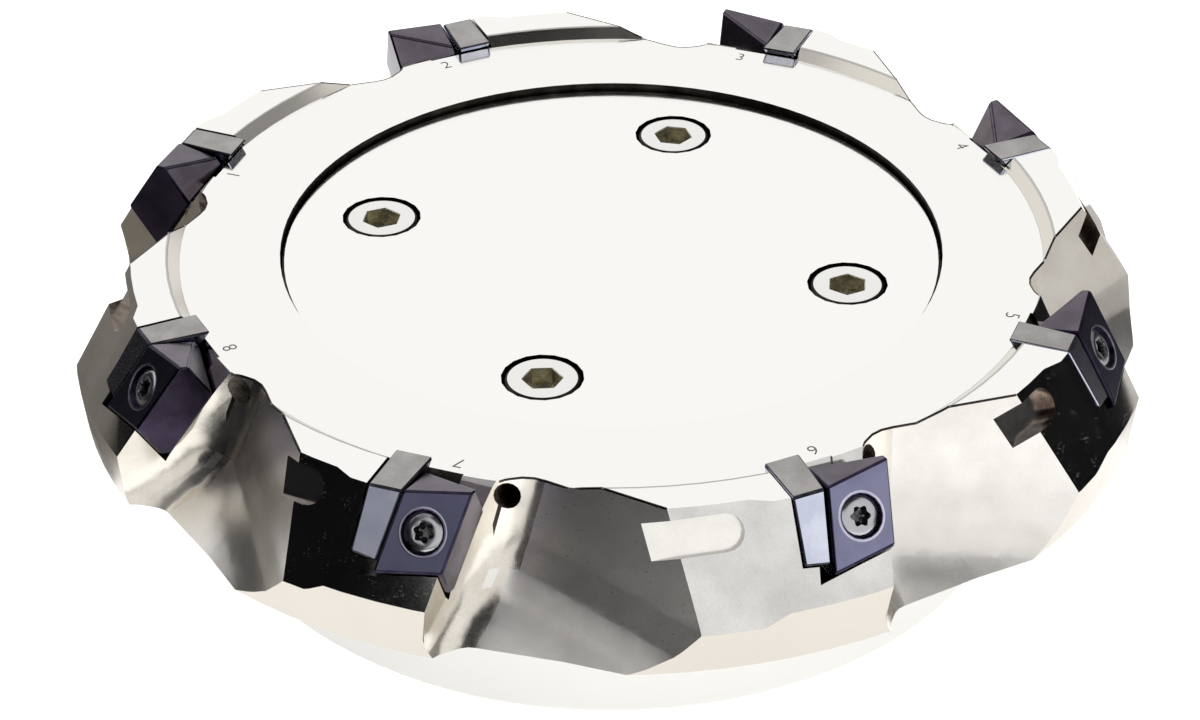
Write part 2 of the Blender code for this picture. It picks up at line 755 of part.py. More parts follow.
def build_body(home, finish):
    blank = cutter("Body blank", body_blank())
    cut_chamber(blank)
    cut_mounting(blank)
    cut_teeth(blank)
    mesh = frozen(blank, "cutter_body")
    close_slivers(mesh)
    smooth(mesh, 28.0)
    place("cutter_body", mesh, home, finish=finish)


def cap_mesh():
    edge = CAP_RADIUS - CAP_CHAMFER
    profile = [
        (0.0, CAP_TOP),
        (edge, CAP_TOP),
        (CAP_RADIUS, CAP_TOP - CAP_CHAMFER),
        (CAP_RADIUS, CAP_BOTTOM),
        (0.0, CAP_BOTTOM),
    ]
    blank = cutter("Cap blank", turned("coolant_cap", profile, closed=False))
    head_bottom = CAP_TOP - CAP_SCREW_DROP - CAP_SCREW_HEAD_HEIGHT
    steps_down = (
        (CAP_SCREW_SHANK + 4 * HOLE_GAP, CAP_BOTTOM - OVERCUT, head_bottom),
        (CAP_SCREW_HEAD + 2 * FIT_GAP, head_bottom - FIT_GAP, CAP_TOP + OVERCUT),
    )
    for hole in post_holes("Cap hole", CAP_SCREW_CIRCLE, 0.0, steps_down):
        cut(blank, hole)
    mesh = frozen(blank, "coolant_cap")
    smooth(mesh, 28.0)
    return mesh


def cap_screw_mesh():
    """A low-head hexagon socket screw, its head's face at height zero."""
    head = CAP_SCREW_HEAD / 2
    shank = CAP_SCREW_SHANK / 2
    bottom = -CAP_SCREW_HEAD_HEIGHT - CAP_SCREW_LENGTH
    profile = [
        (0.0, 0.0),
        (head - CAP_SCREW_CHAMFER, 0.0),
        (head, -CAP_SCREW_CHAMFER),
        (head, -CAP_SCREW_HEAD_HEIGHT),
        (shank, -CAP_SCREW_HEAD_HEIGHT),
        (shank, bottom + CAP_SCREW_POINT),
        (shank - CAP_SCREW_POINT, bottom),
        (0.0, bottom),
    ]
    blank = cutter("Cap screw blank", turned("cap_screw", profile, HOLE_STEPS, closed=False))
    bm = bmesh.new()
    across = CAP_SCREW_HEX / math.sqrt(3.0)
    bmesh.ops.create_cone(
        bm, cap_ends=True, segments=6, depth=CAP_SCREW_HEX_DEPTH * 2, radius1=across, radius2=across
    )
    cut(blank, cutter("Hexagon socket", as_mesh("Hexagon socket", bm)))
    mesh = frozen(blank, "cap_screw")
    smooth(mesh)
    return mesh


def build_cap(home, finish, screw_finish):
    place("coolant_cap", cap_mesh(), home, finish=finish)
    mesh = cap_screw_mesh()
    for quarter in range(4):
        spot = on_circle(CAP_SCREW_CIRCLE, 90.0 * quarter, CAP_TOP - CAP_SCREW_DROP)
        turn = Matrix.Rotation(math.radians(CAP_SCREW_TURNS[quarter]), 4, "Z")
        place(f"cap_screw_{quarter + 1}", mesh, home, Matrix.Translation(spot) @ turn, screw_finish)


def build_teeth(home, carbide, shim_finish, screw_finish):
    insert = insert_mesh()
    shim = shim_mesh()
    screw = screw_mesh(
        "insert_screw", SCREW_HEAD, SCREW_SHANK, SCREW_RIM, SCREW_CONE_DEPTH, SCREW_LENGTH,
        TORX_DIAMETER, TORX_DEPTH, ROUND_STEPS,
    )
    shim_screw = screw_mesh(
        "shim_screw", SHIM_SCREW_HEAD, SHIM_SCREW_SHANK, SHIM_SCREW_RIM, SHIM_SCREW_CONE,
        SHIM_SCREW_LENGTH, SHIM_TORX_DIAMETER, SHIM_TORX_DEPTH, SMALL_STEPS,
    )
    sunk = Matrix.Translation(insert_centre() - Vector((0.0, 0.0, SCREW_DROP)))
    shim_sunk = shim_screw_matrix() @ Matrix.Translation((0.0, 0.0, -SCREW_DROP))
    for tooth in range(TEETH):
        pocket = tooth_matrix(tooth) @ pocket_matrix()
        number = tooth + 1
        place(f"insert_{number}", insert, home, pocket, carbide)
        place(f"shim_{number}", shim, home, pocket, shim_finish)
        place(f"insert_screw_{number}", screw, home, pocket @ sunk, screw_finish)
        place(f"shim_screw_{number}", shim_screw, home, pocket @ shim_sunk, screw_finish)


for old in list(bpy.data.objects):
    bpy.data.objects.remove(old)
CUTTERS = collection("Cutters")
CUTTERS.hide_render = True
MILL = collection("Tangential face mill")
build_body(MILL, material("Nickel-plated steel", (0.72, 0.70, 0.66), 0.22))
build_cap(
    MILL,
    material("Ground plated steel", (0.76, 0.74, 0.70), 0.16),
    material("Chromed steel", (0.62, 0.62, 0.60), 0.18),
)
build_teeth(
    MILL,
    material("Coated carbide", (0.10, 0.09, 0.16), 0.30),
    material("Bare carbide", (0.40, 0.43, 0.50), 0.25),
    material("Blackened steel", (0.16, 0.16, 0.17), 0.35),
)
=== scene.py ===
# the looks of the face mill: finishes, some with painted shade and highlights, broken edges painted dark,
# screw heads, tooth numbers and the studio
import math

import bmesh
import bpy
import numpy as np
from mathutils import Matrix, Vector


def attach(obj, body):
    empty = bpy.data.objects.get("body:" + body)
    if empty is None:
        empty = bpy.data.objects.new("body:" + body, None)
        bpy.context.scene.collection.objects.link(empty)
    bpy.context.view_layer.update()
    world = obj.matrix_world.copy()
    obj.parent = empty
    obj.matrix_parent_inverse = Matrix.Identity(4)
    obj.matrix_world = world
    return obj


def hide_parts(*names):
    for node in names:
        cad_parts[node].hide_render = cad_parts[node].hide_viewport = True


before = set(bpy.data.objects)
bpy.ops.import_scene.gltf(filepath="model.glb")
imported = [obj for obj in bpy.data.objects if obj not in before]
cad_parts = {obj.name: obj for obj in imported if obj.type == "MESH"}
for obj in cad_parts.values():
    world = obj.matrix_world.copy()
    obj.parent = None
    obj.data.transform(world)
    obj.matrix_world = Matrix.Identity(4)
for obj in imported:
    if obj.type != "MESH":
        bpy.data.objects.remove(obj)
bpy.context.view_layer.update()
print("frame loaded:", len(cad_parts), "nodes")

# sizes that several pieces share, in metres and degrees
mill = {
    "noseRadius": 0.100, "noseHeight": 0.063, "firstTooth": 181.58,
    "shifts": (-0.63, -0.55, -1.01, 1.62, -0.68, 0.55, -0.86, 1.56),
    "edgeAngle": 57.2, "axialRake": 13.0, "insertDrop": 7.7,
    "faceHeight": 0.05885, "landHeight": 0.06085, "rimFootHeight": 0.0312, "capTop": 0.0572,
}


def toLinear(hexColour):
    # sRGB hex to linear light
    parts = [int(hexColour[i:i + 2], 16) / 255 for i in (1, 3, 5)]
    return tuple(p / 12.92 if p <= 0.04045 else ((p + 0.055) / 1.055) ** 2.4 for p in parts) + (1.0,)


def addNode(tree, kind, links=None, **settings):
    # one shader node with its settings, and links as {input: socket or value}
    node = tree.nodes.new(kind)
    for key, value in settings.items():
        setattr(node, key, value)
    for key, value in (links or {}).items():
        if isinstance(value, bpy.types.NodeSocket):
            tree.links.new(value, node.inputs[key])
        else:
            node.inputs[key].default_value = value
    return node


def setRamp(node, stops):
    # colour stops as (position, hex)
    ramp = node.color_ramp
    while len(ramp.elements) < len(stops):
        ramp.elements.new(0.5)
    for element, (position, colour) in zip(ramp.elements, stops):
        element.position = position
        element.color = toLinear(colour)


def newMaterial(name, colour, roughness, metallic=1.0):
    # one plain material, with its node tree and its shader for what is added to it
    made = bpy.data.materials.new(name)
    made.use_nodes = True
    shader = made.node_tree.nodes["Principled BSDF"]
    shader.inputs["Base Color"].default_value = toLinear(colour)
    shader.inputs["Roughness"].default_value = roughness
    shader.inputs["Metallic"].default_value = metallic
    return made, made.node_tree, shader


def turnedMetal(name, look):
    # a turned face: concentric tool lines a fraction of a millimetre apart, which spread the light in rings
    made, tree, shader = newMaterial(name, look["colour"], look["roughness"])
    where = addNode(tree, "ShaderNodeTexCoord").outputs["Object"]
    apart = addNode(tree, "ShaderNodeSeparateXYZ", {0: where})
    flat = addNode(tree, "ShaderNodeCombineXYZ", {"X": apart.outputs["X"], "Y": apart.outputs["Y"]})
    radius = addNode(tree, "ShaderNodeVectorMath", {0: flat.outputs[0]}, operation="LENGTH").outputs["Value"]
    lines = addNode(tree, "ShaderNodeTexNoise", {
        "W": radius, "Scale": 1000 / look["lineMm"], "Detail": 3.0}, noise_dimensions="1D")
    cloud = addNode(tree, "ShaderNodeTexNoise", {
        "Vector": where, "Scale": 1000 / look["cloudMm"], "Detail": 4.0})
    rough = addNode(tree, "ShaderNodeMapRange", {
        "Value": cloud.outputs["Fac"], "From Min": 0.3, "From Max": 0.7,
        "To Min": look["roughness"] - look["spread"], "To Max": look["roughness"] + look["spread"]})
    tree.links.new(rough.outputs[0], shader.inputs["Roughness"])
    bump = addNode(tree, "ShaderNodeBump", {
        "Height": lines.outputs["Fac"], "Strength": look["bump"], "Distance": 0.00002})
    tree.links.new(bump.outputs[0], shader.inputs["Normal"])
    return made


def grainedMetal(name, look):
    # a milled, ground or coated face: fine grain, softer clouds where it was rubbed, and sparse bright specks
    made, tree, shader = newMaterial(name, look["colour"], look["roughness"], look.get("metallic", 1.0))
    where = addNode(tree, "ShaderNodeTexCoord").outputs["Object"]
    grain = addNode(tree, "ShaderNodeTexNoise", {
        "Vector": where, "Scale": 1000 / look["grainMm"], "Detail": 5.0, "Roughness": 0.65})
    cloud = addNode(tree, "ShaderNodeTexNoise", {
        "Vector": where, "Scale": 1000 / look["cloudMm"], "Detail": 3.0})
    tint = addNode(tree, "ShaderNodeValToRGB", {"Fac": cloud.outputs["Fac"]})
    setRamp(tint, ((0.35, look["dark"]), (0.65, look["colour"])))
    speck = addNode(tree, "ShaderNodeValToRGB", {"Fac": grain.outputs["Fac"]})
    setRamp(speck, ((0.3, look["speck"]), (0.62, "#FFFFFF")))
    mixed = addNode(tree, "ShaderNodeMix", {
        "Factor": look["speckShare"], "A": tint.outputs[0], "B": speck.outputs[0]},
        data_type="RGBA", blend_type="MULTIPLY")
    tree.links.new(mixed.outputs["Result"], shader.inputs["Base Color"])
    rough = addNode(tree, "ShaderNodeMapRange", {
        "Value": grain.outputs["Fac"], "From Min": 0.3, "From Max": 0.7,
        "To Min": look["roughness"] - look["spread"], "To Max": look["roughness"] + look["spread"]})
    roughness = rough.outputs[0]
    if look.get("pits"):
        # tiny pits in the plating, each scattering a little of whatever is bright around it
        cells = addNode(tree, "ShaderNodeTexVoronoi", {"Vector": where, "Scale": 1000 / look["pits"]})
        dots = addNode(tree, "ShaderNodeMapRange", {
            "Value": cells.outputs["Distance"], "From Min": 0.10, "From Max": 0.22,
            "To Min": 1.0, "To Max": 0.0})
        patch = addNode(tree, "ShaderNodeTexNoise", {
            "Vector": where, "Scale": 1000 / look["patchMm"], "Detail": 2.0})
        some = addNode(tree, "ShaderNodeMapRange", {
            "Value": patch.outputs["Fac"], "From Min": 0.50, "From Max": 0.72,
            "To Min": 0.0, "To Max": 1.0})
        share = addNode(tree, "ShaderNodeMath", {
            0: dots.outputs[0], 1: some.outputs[0]}, operation="MULTIPLY")
        summed = addNode(tree, "ShaderNodeMath", {0: share.outputs[0], 1: look["pitRough"], 2: roughness},
                         operation="MULTIPLY_ADD")
        roughness = summed.outputs[0]
    tree.links.new(roughness, shader.inputs["Roughness"])
    bump = addNode(tree, "ShaderNodeBump", {
        "Height": grain.outputs["Fac"], "Strength": look["bump"], "Distance": 0.00003})
    tree.links.new(bump.outputs[0], shader.inputs["Normal"])
    return made


finishes = {
    # nickel plating over a turned face: nearly a mirror, its fine rings only just spread the light
    "face": turnedMetal("nickelTurnedFace", {
        "colour": "#F8F6F2", "roughness": 0.15, "spread": 0.03, "lineMm": 0.25, "cloudMm": 30, "bump": 0.05}),
    # nickel plating over a ground plate: the calmest mirror on the cutter
    "cap": turnedMetal("nickelGroundCap", {
        "colour": "#F9F7F3", "roughness": 0.13, "spread": 0.03, "lineMm": 0.2, "cloudMm": 40, "bump": 0.04}),
    # nickel over a plainly turned hub: pale satin grey without a clear reflection
    "hub": turnedMetal("nickelTurnedHub", {
        "colour": "#E2E1DE", "roughness": 0.34, "spread": 0.04, "lineMm": 0.3, "cloudMm": 25, "bump": 0.05}),
    # nickel over a coarser turned rim: a soft warm mirror
    "rim": turnedMetal("nickelTurnedRim", {
        "colour": "#CDC7BE", "roughness": 0.24, "spread": 0.05, "lineMm": 0.4, "cloudMm": 12, "bump": 0.03}),
    # nickel over polished steel: a black or white mirror, broken by tiny pits in patches
    "flank": grainedMetal("nickelPolishedFlank", {
        "colour": "#E4E2DE", "dark": "#CFCDCA", "speck": "#C9C7C4", "speckShare": 0.2, "roughness": 0.08,
        "spread": 0.02, "grainMm": 0.5, "cloudMm": 11, "bump": 0.004, "pits": 0.45, "pitRough": 0.5,
        "patchMm": 3.0}),
    # nickel over the gullet's rounded corner: soft streaks that run with the curve
    "fillet": grainedMetal("nickelPolishedFillet", {
        "colour": "#E9E4DA", "dark": "#DCD6CB", "speck": "#CFCAC1", "speckShare": 0.2, "roughness": 0.22,
        "spread": 0.03, "grainMm": 0.6, "cloudMm": 9, "bump": 0.006}),
    # nickel over the gullet's milled walls: satin, broad soft shades
    "wall": grainedMetal("nickelSatinWall", {
        "colour": "#F0EDE8", "dark": "#E6E2DC", "speck": "#D8D4CD", "speckShare": 0.15, "roughness": 0.30,
        "spread": 0.03, "grainMm": 0.5, "cloudMm": 8, "bump": 0.006}),
    # nickel in the slot: a bright, even floor
    "slotFloor": grainedMetal("nickelSlotFloor", {
        "colour": "#F8F5F0", "dark": "#F0EDE7", "speck": "#E6E2DB", "speckShare": 0.2, "roughness": 0.15,
        "spread": 0.02, "grainMm": 0.5, "cloudMm": 5, "bump": 0.004}),
    # nickel on the slot's steep walls, painted brown and dim: painted shade for walls that see little light
    "slotWall": grainedMetal("nickelSlotWallPaintedShade", {
        "colour": "#8A7C70", "dark": "#5E5048", "speck": "#463B35", "speckShare": 0.4, "roughness": 0.20,
        "spread": 0.04, "grainMm": 0.5, "cloudMm": 3, "bump": 0.02}),
    # nickel over the milled pocket walls: pale, with faint mill marks
    "pocket": grainedMetal("nickelMilledPocket", {
        "colour": "#E4E0D9", "dark": "#CFCAC2", "speck": "#BDB8B0", "speckShare": 0.25, "roughness": 0.20,
        "spread": 0.04, "grainMm": 0.5, "cloudMm": 6, "bump": 0.04}),
    # the pocket's upper walls, behind the insert: painted shade, dim with almost no reflection, for a deep
    # narrow gap that light hardly reaches
    "pocketShade": grainedMetal("nickelShadedPocket", {
        "colour": "#4A4643", "dark": "#35322F", "speck": "#282624", "speckShare": 0.3, "roughness": 0.30,
        "spread": 0.04, "grainMm": 0.5, "cloudMm": 5, "bump": 0.04}),
    # a broken edge where the plating turns sharply: a thin line painted dark, for the dark room that the
    # chamfer mirrors
    "edge": grainedMetal("nickelEdgePaintedDark", {
        "colour": "#55504C", "dark": "#2E2B29", "speck": "#1E1C1B", "speckShare": 0.4, "roughness": 0.22,
        "spread": 0.05, "grainMm": 0.4, "cloudMm": 5, "bump": 0.05}),
    # the land's rounded corner: a thin line painted grey for the reflection it catches
    "softEdge": turnedMetal("nickelLandCornerPaintedGrey", {
        "colour": "#BDBBB6", "roughness": 0.30, "spread": 0.03, "lineMm": 0.25, "cloudMm": 20, "bump": 0.02}),
    # nickel over the conical step: a mirror band that goes from black to cream round the ring
    "step": turnedMetal("nickelTurnedStep", {
        "colour": "#DDD8CE", "roughness": 0.16, "spread": 0.03, "lineMm": 0.25, "cloudMm": 20, "bump": 0.02}),
    # painted shade for walls that light hardly reaches: close to black
    "bore": grainedMetal("boreWallPaintedShade", {
        "colour": "#3A3632", "dark": "#1E1C1A", "speck": "#141312", "speckShare": 0.4, "roughness": 0.35,
        "spread": 0.05, "grainMm": 0.4, "cloudMm": 4, "bump": 0.05}),
    # drilled and thinly plated: dull grey with dark specks
    "coolantHole": grainedMetal("drilledHoleWall", {
        "colour": "#BDB2A6", "dark": "#7E746A", "speck": "#4E463F", "speckShare": 0.4, "roughness": 0.30,
        "spread": 0.05, "grainMm": 0.5, "cloudMm": 2, "bump": 0.03, "metallic": 0.7}),
    # chromed screw head: white and smooth
    "capScrew": turnedMetal("chromedScrewHead", {
        "colour": "#ECEBE8", "roughness": 0.12, "spread": 0.03, "lineMm": 0.3, "cloudMm": 5, "bump": 0.05}),
    # broached socket: olive grey, lit differently on each side
    "socket": grainedMetal("broachedSocket", {
        "colour": "#D2CDB9", "dark": "#A9A48F", "speck": "#8A8674", "speckShare": 0.2, "roughness": 0.24,
        "spread": 0.05, "grainMm": 0.9, "cloudMm": 2.0, "bump": 0.06, "metallic": 0.9}),
    # carbide with a violet grey coating: smooth, half a mirror
    "insert": grainedMetal("coatedCarbide", {
        "colour": "#8686A2", "dark": "#787893", "speck": "#6A6684", "speckShare": 0.2, "roughness": 0.17,
        "spread": 0.03, "grainMm": 0.25, "cloudMm": 9, "bump": 0.01}),
    # the coating's lip round the screw hole, painted pale as a highlight along its edge
    "insertRing": grainedMetal("countersinkRimPaintedHighlight", {
        "colour": "#D8D5E4", "dark": "#BAB6CC", "speck": "#A09CB4", "speckShare": 0.2, "roughness": 0.20,
        "spread": 0.03, "grainMm": 0.25, "cloudMm": 5, "bump": 0.01}),
    # the same coating on the rake face, painted deep violet as the shade of a face that looks at the dark
    # side
    "insertRake": grainedMetal("rakeFacePaintedShade", {
        "colour": "#50485F", "dark": "#3B3446", "speck": "#2E2834", "speckShare": 0.25, "roughness": 0.18,
        "spread": 0.04, "grainMm": 0.3, "cloudMm": 7, "bump": 0.02}),
    # the same coating on the rougher top face: brownish grey
    "insertTop": grainedMetal("coatedTopFace", {
        "colour": "#6F6871", "dark": "#5F5860", "speck": "#4E4850", "speckShare": 0.25, "roughness": 0.24,
        "spread": 0.04, "grainMm": 0.3, "cloudMm": 6, "bump": 0.03}),
    # honed cutting edge: a thin line painted dark, the shade along its rounding
    "insertEdge": grainedMetal("insertEdgePaintedShade", {
        "colour": "#3A3448", "dark": "#262230", "speck": "#1B1822", "speckShare": 0.3, "roughness": 0.20,
        "spread": 0.04, "grainMm": 0.3, "cloudMm": 3, "bump": 0.04}),
    # ground bare carbide: cool pale mirror
    "shim": grainedMetal("groundCarbide", {
        "colour": "#DDE0EE", "dark": "#CBCFE2", "speck": "#BCC0D2", "speckShare": 0.2, "roughness": 0.16,
        "spread": 0.04, "grainMm": 0.3, "cloudMm": 5, "bump": 0.04}),
    # ground bare carbide on its top: matt mid grey
    "shimTop": grainedMetal("groundCarbideTop", {
        "colour": "#B6B3B1", "dark": "#A3A09E", "speck": "#8E8B89", "speckShare": 0.4, "roughness": 0.34,
        "spread": 0.05, "grainMm": 0.3, "cloudMm": 5, "bump": 0.05}),
    # the shim's ground edge: a thin line painted dark, the shade along its rounding
    "shimEdge": grainedMetal("shimEdgePaintedShade", {
        "colour": "#4A4B50", "dark": "#2E2F34", "speck": "#1C1D20", "speckShare": 0.3, "roughness": 0.25,
        "spread": 0.04, "grainMm": 0.3, "cloudMm": 3, "bump": 0.04}),
    # burnished screw head: mid grey with a soft shine
    "screw": turnedMetal("gunmetalScrewHead", {
        "colour": "#B6B6BA", "roughness": 0.22, "spread": 0.04, "lineMm": 0.3, "cloudMm": 3, "bump": 0.05}),
    # cold-forged recess: painted darker than the head, the shade in the hollow, with small bright glints
    "recess": grainedMetal("recessPaintedShade", {
        "colour": "#7C7C7E", "dark": "#4A4A4C", "speck": "#3A3A3C", "speckShare": 0.3, "roughness": 0.26,
        "spread": 0.05, "grainMm": 0.4, "cloudMm": 1.2, "bump": 0.15}),
}
print("materials made:", len(finishes))


def showPiece(name, mesh, node, finish):
    # one shown piece with its finishes in order, riding the body, in the place of its CAD node if it has one
    shown = bpy.data.objects.new(name, mesh)
    bpy.context.scene.collection.objects.link(shown)
    for key in finish:
        mesh.materials.append(finishes[key])
    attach(shown, "root")
    if node:
        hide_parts(node)
    return shown


def weldedCopy(name, look):
    # a CAD node welded into whole faces, so that smooth faces shade smoothly
    made = bmesh.new()
    made.from_mesh(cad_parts[name].data)
    bmesh.ops.remove_doubles(made, verts=made.verts, dist=2e-6)
    bmesh.ops.dissolve_degenerate(made, edges=made.edges, dist=1e-6)
    bmesh.ops.dissolve_limit(made, angle_limit=math.radians(0.5), verts=made.verts, edges=made.edges)
    mesh = bpy.data.meshes.new(name + "Shown")
    made.to_mesh(mesh)
    made.free()
    creased(mesh, look["sharpAngle"])
    shown = showPiece(name + "Shown", mesh, name, look["finish"])
    if look.get("bevel"):
        edge = shown.modifiers.new("edge", "BEVEL")
        edge.width = look["bevel"]
        edge.segments = 2
        edge.limit_method = "ANGLE"
        edge.angle_limit = math.radians(look["sharpAngle"])
        edge.use_clamp_overlap = True
        edge.harden_normals = True
        edge.material = look["edgeFinish"]
    even = shown.modifiers.new("even", "WEIGHTED_NORMAL")
    even.keep_sharp = True
    return shown


def faceData(mesh):
    # centre, normal and area of every face as arrays
    centre = np.zeros(len(mesh.polygons) * 3)
    normal = np.zeros(len(mesh.polygons) * 3)
    area = np.zeros(len(mesh.polygons))
    mesh.polygons.foreach_get("center", centre)
    mesh.polygons.foreach_get("normal", normal)
    mesh.polygons.foreach_get("area", area)
    return centre.reshape(-1, 3), normal.reshape(-1, 3), area


def toothTurn(index):
    # turns the tooth frame, X out through the nose and Y ahead of it, to its place
    return Matrix.Rotation(math.radians(mill["firstTooth"] - 45 * index + mill["shifts"][index]), 4, "Z")


def pocketFrame():
    # the insert's frame in its tooth: X back along the tooth, Y down the cutting edge, Z out
    edge, rake, drop = (math.radians(mill[key]) for key in ("edgeAngle", "axialRake", "insertDrop"))
    down = Vector((math.cos(rake) * math.cos(edge), -math.sin(rake), -math.cos(rake) * math.sin(edge)))
    back = Vector((0.0, -math.cos(drop), -math.sin(drop)))
    out = back.cross(down).normalized()
    placed = Matrix((down.cross(out), down, out)).transposed().to_4x4()
    placed.translation = Vector((mill["noseRadius"], 0.0, mill["noseHeight"]))
    return placed, placed.to_3x3().inverted() @ back


pocket, pocketBack = pocketFrame()
toothAngles = np.array([math.degrees(math.atan2(toothTurn(i)[1][0], toothTurn(i)[0][0])) for i in range(8)])


def toothLocal(vectors, index):
    # rotates rows of vectors into the frame of the tooth that each belongs to
    a = -np.radians(toothAngles[index])
    x, y, z = vectors.T
    return np.stack((x * np.cos(a) - y * np.sin(a), x * np.sin(a) + y * np.cos(a), z), -1)


# the gullet's sizes are the CAD's, in metres and degrees
gullet = {
    "backLean": 0.36, "backSkew": 0.26, "floorSlope": 30.0, "radius": 0.0080, "reach": 0.0065, "run": 0.055,
    "frontSetback": 0.0010, "backInset": 0.0158, "floorExit": 0.0055, "rimFootRadius": 0.1109,
}


def gulletFrame():
    # the mill's path in its tooth: the corner that its centre passes, and the directions up the wall,
    # out over the floor and behind
    front = np.array(pocket.to_3x3() @ Vector((-1.0, 0.0, 0.0)))
    slope = math.radians(gullet["floorSlope"])
    floorNormal = np.array((math.sin(slope), 0.0, math.cos(slope)))
    back = np.array((1.0, -gullet["backSkew"], gullet["backLean"]))
    back /= np.linalg.norm(back)
    nose = np.array((mill["noseRadius"], 0.0, mill["noseHeight"]))
    points = (nose - front * gullet["frontSetback"],
              np.array((mill["noseRadius"] - gullet["backInset"], 0.0, mill["faceHeight"])),
              np.array((gullet["rimFootRadius"] - gullet["floorExit"], 0.0, mill["rimFootHeight"])))
    normals = np.array((front, back, floorNormal))
    levels = np.array([n @ p for n, p in zip(normals, points)]) + gullet["radius"]
    corner = np.linalg.solve(normals, levels)
    up, out, behind = np.cross(front, back), np.cross(floorNormal, front), np.cross(back, floorNormal)
    up, out, behind = up * np.sign(up[2]), out * np.sign(out[0]), behind * np.sign(behind[1])
    behind *= gullet["run"] / behind[1]
    up, out = up / np.linalg.norm(up), out / np.linalg.norm(out)
    return corner, np.stack((up, out, behind / np.linalg.norm(behind)), 1)


gulletCorner, gulletAxes = gulletFrame()


# the slot in each flank, ends in degrees behind the tooth, the rest in metres
slot = {
    "top": (0.0993, 0.06085), "foot": (0.1122, 0.03975), "ends": (19.4, 31.0), "drop": 0.0047, "fall": 0.0013,
}


def slotFrame():
    # the slot beside each tooth: its outward direction, the middle of its mouth, and the way it runs
    along = np.array(slot["foot"]) - np.array(slot["top"])
    along /= np.linalg.norm(along)

    def polar(radius, degrees, height):
        # (r, a, z) -> (r cos a, r sin a, z)
        turn = math.radians(degrees)
        return np.array((radius * math.cos(turn), radius * math.sin(turn), height))

    slotOut = polar(-along[1], -sum(slot["ends"]) / 2, along[0])
    places = [polar(slot["top"][0] - along[0] / along[1] * drop, -angle, slot["top"][1] - drop)
              for angle, drop in zip(slot["ends"], (slot["drop"], slot["drop"] + slot["fall"]))]
    run = places[1] - places[0]
    return slotOut, (places[0] + places[1]) / 2, run / np.linalg.norm(run)


bodyFinish = ("face", "hub", "rim", "flank", "fillet", "wall", "pocket", "bore", "step",
              "slotFloor", "slotWall", "coolantHole", "pocketShade")
kindOf = {name: number for number, name in enumerate(bodyFinish)}
gulletKinds = (kindOf["fillet"], kindOf["wall"])

# where the kinds of face lie on the body: places in metres, areas in square metres, the gullet's own
# limits in millimetres, and slopes and facings as parts of a unit normal
bodyFaces = {
    "teethBeside": (-28.0, 8.0), "near": 0.45, "bowlNear": 0.3, "runPast": 3,
    "gulletRadius": 0.080, "gulletFoot": 0.0300, "gulletRise": 0.95,
    "flankSlope": (0.40, 0.68), "flankRadius": 0.0945, "flankOutward": 0.70,
    "rimTop": 0.04285, "rimRadius": 0.1080, "rimOutward": 0.75, "rimPast": 0.0003, "hubPast": 0.0001,
    "levelHeight": 0.050, "levelRise": 0.9,
    "stepRadii": (0.0870, 0.0925), "stepHeight": 0.0590, "stepSlope": (0.70, 0.85),
    "slotHalfWidth": 0.0039, "slotHalfRun": 0.0175, "slotDepths": (-0.0035, -0.0024, -0.0007, -0.0002),
    "slotFacings": (0.93, 0.5), "holeStart": (0.061, 0.0, 0.0383), "holeEnd": (0.0883, 0.0033, 0.0551),
    "holeRadius": 0.0027, "holeFrom": 0.062, "holeFacing": 0.5,
    "boreRadius": 0.0700, "boreHeights": (0.0350, 0.0560),
    "shadeHeight": 0.0500, "shadeRadius": 0.0990, "shadeRise": 0.7,
    "sliver": 0.8e-6, "smallFace": 12e-6, "gulletShare": 0.55,
}


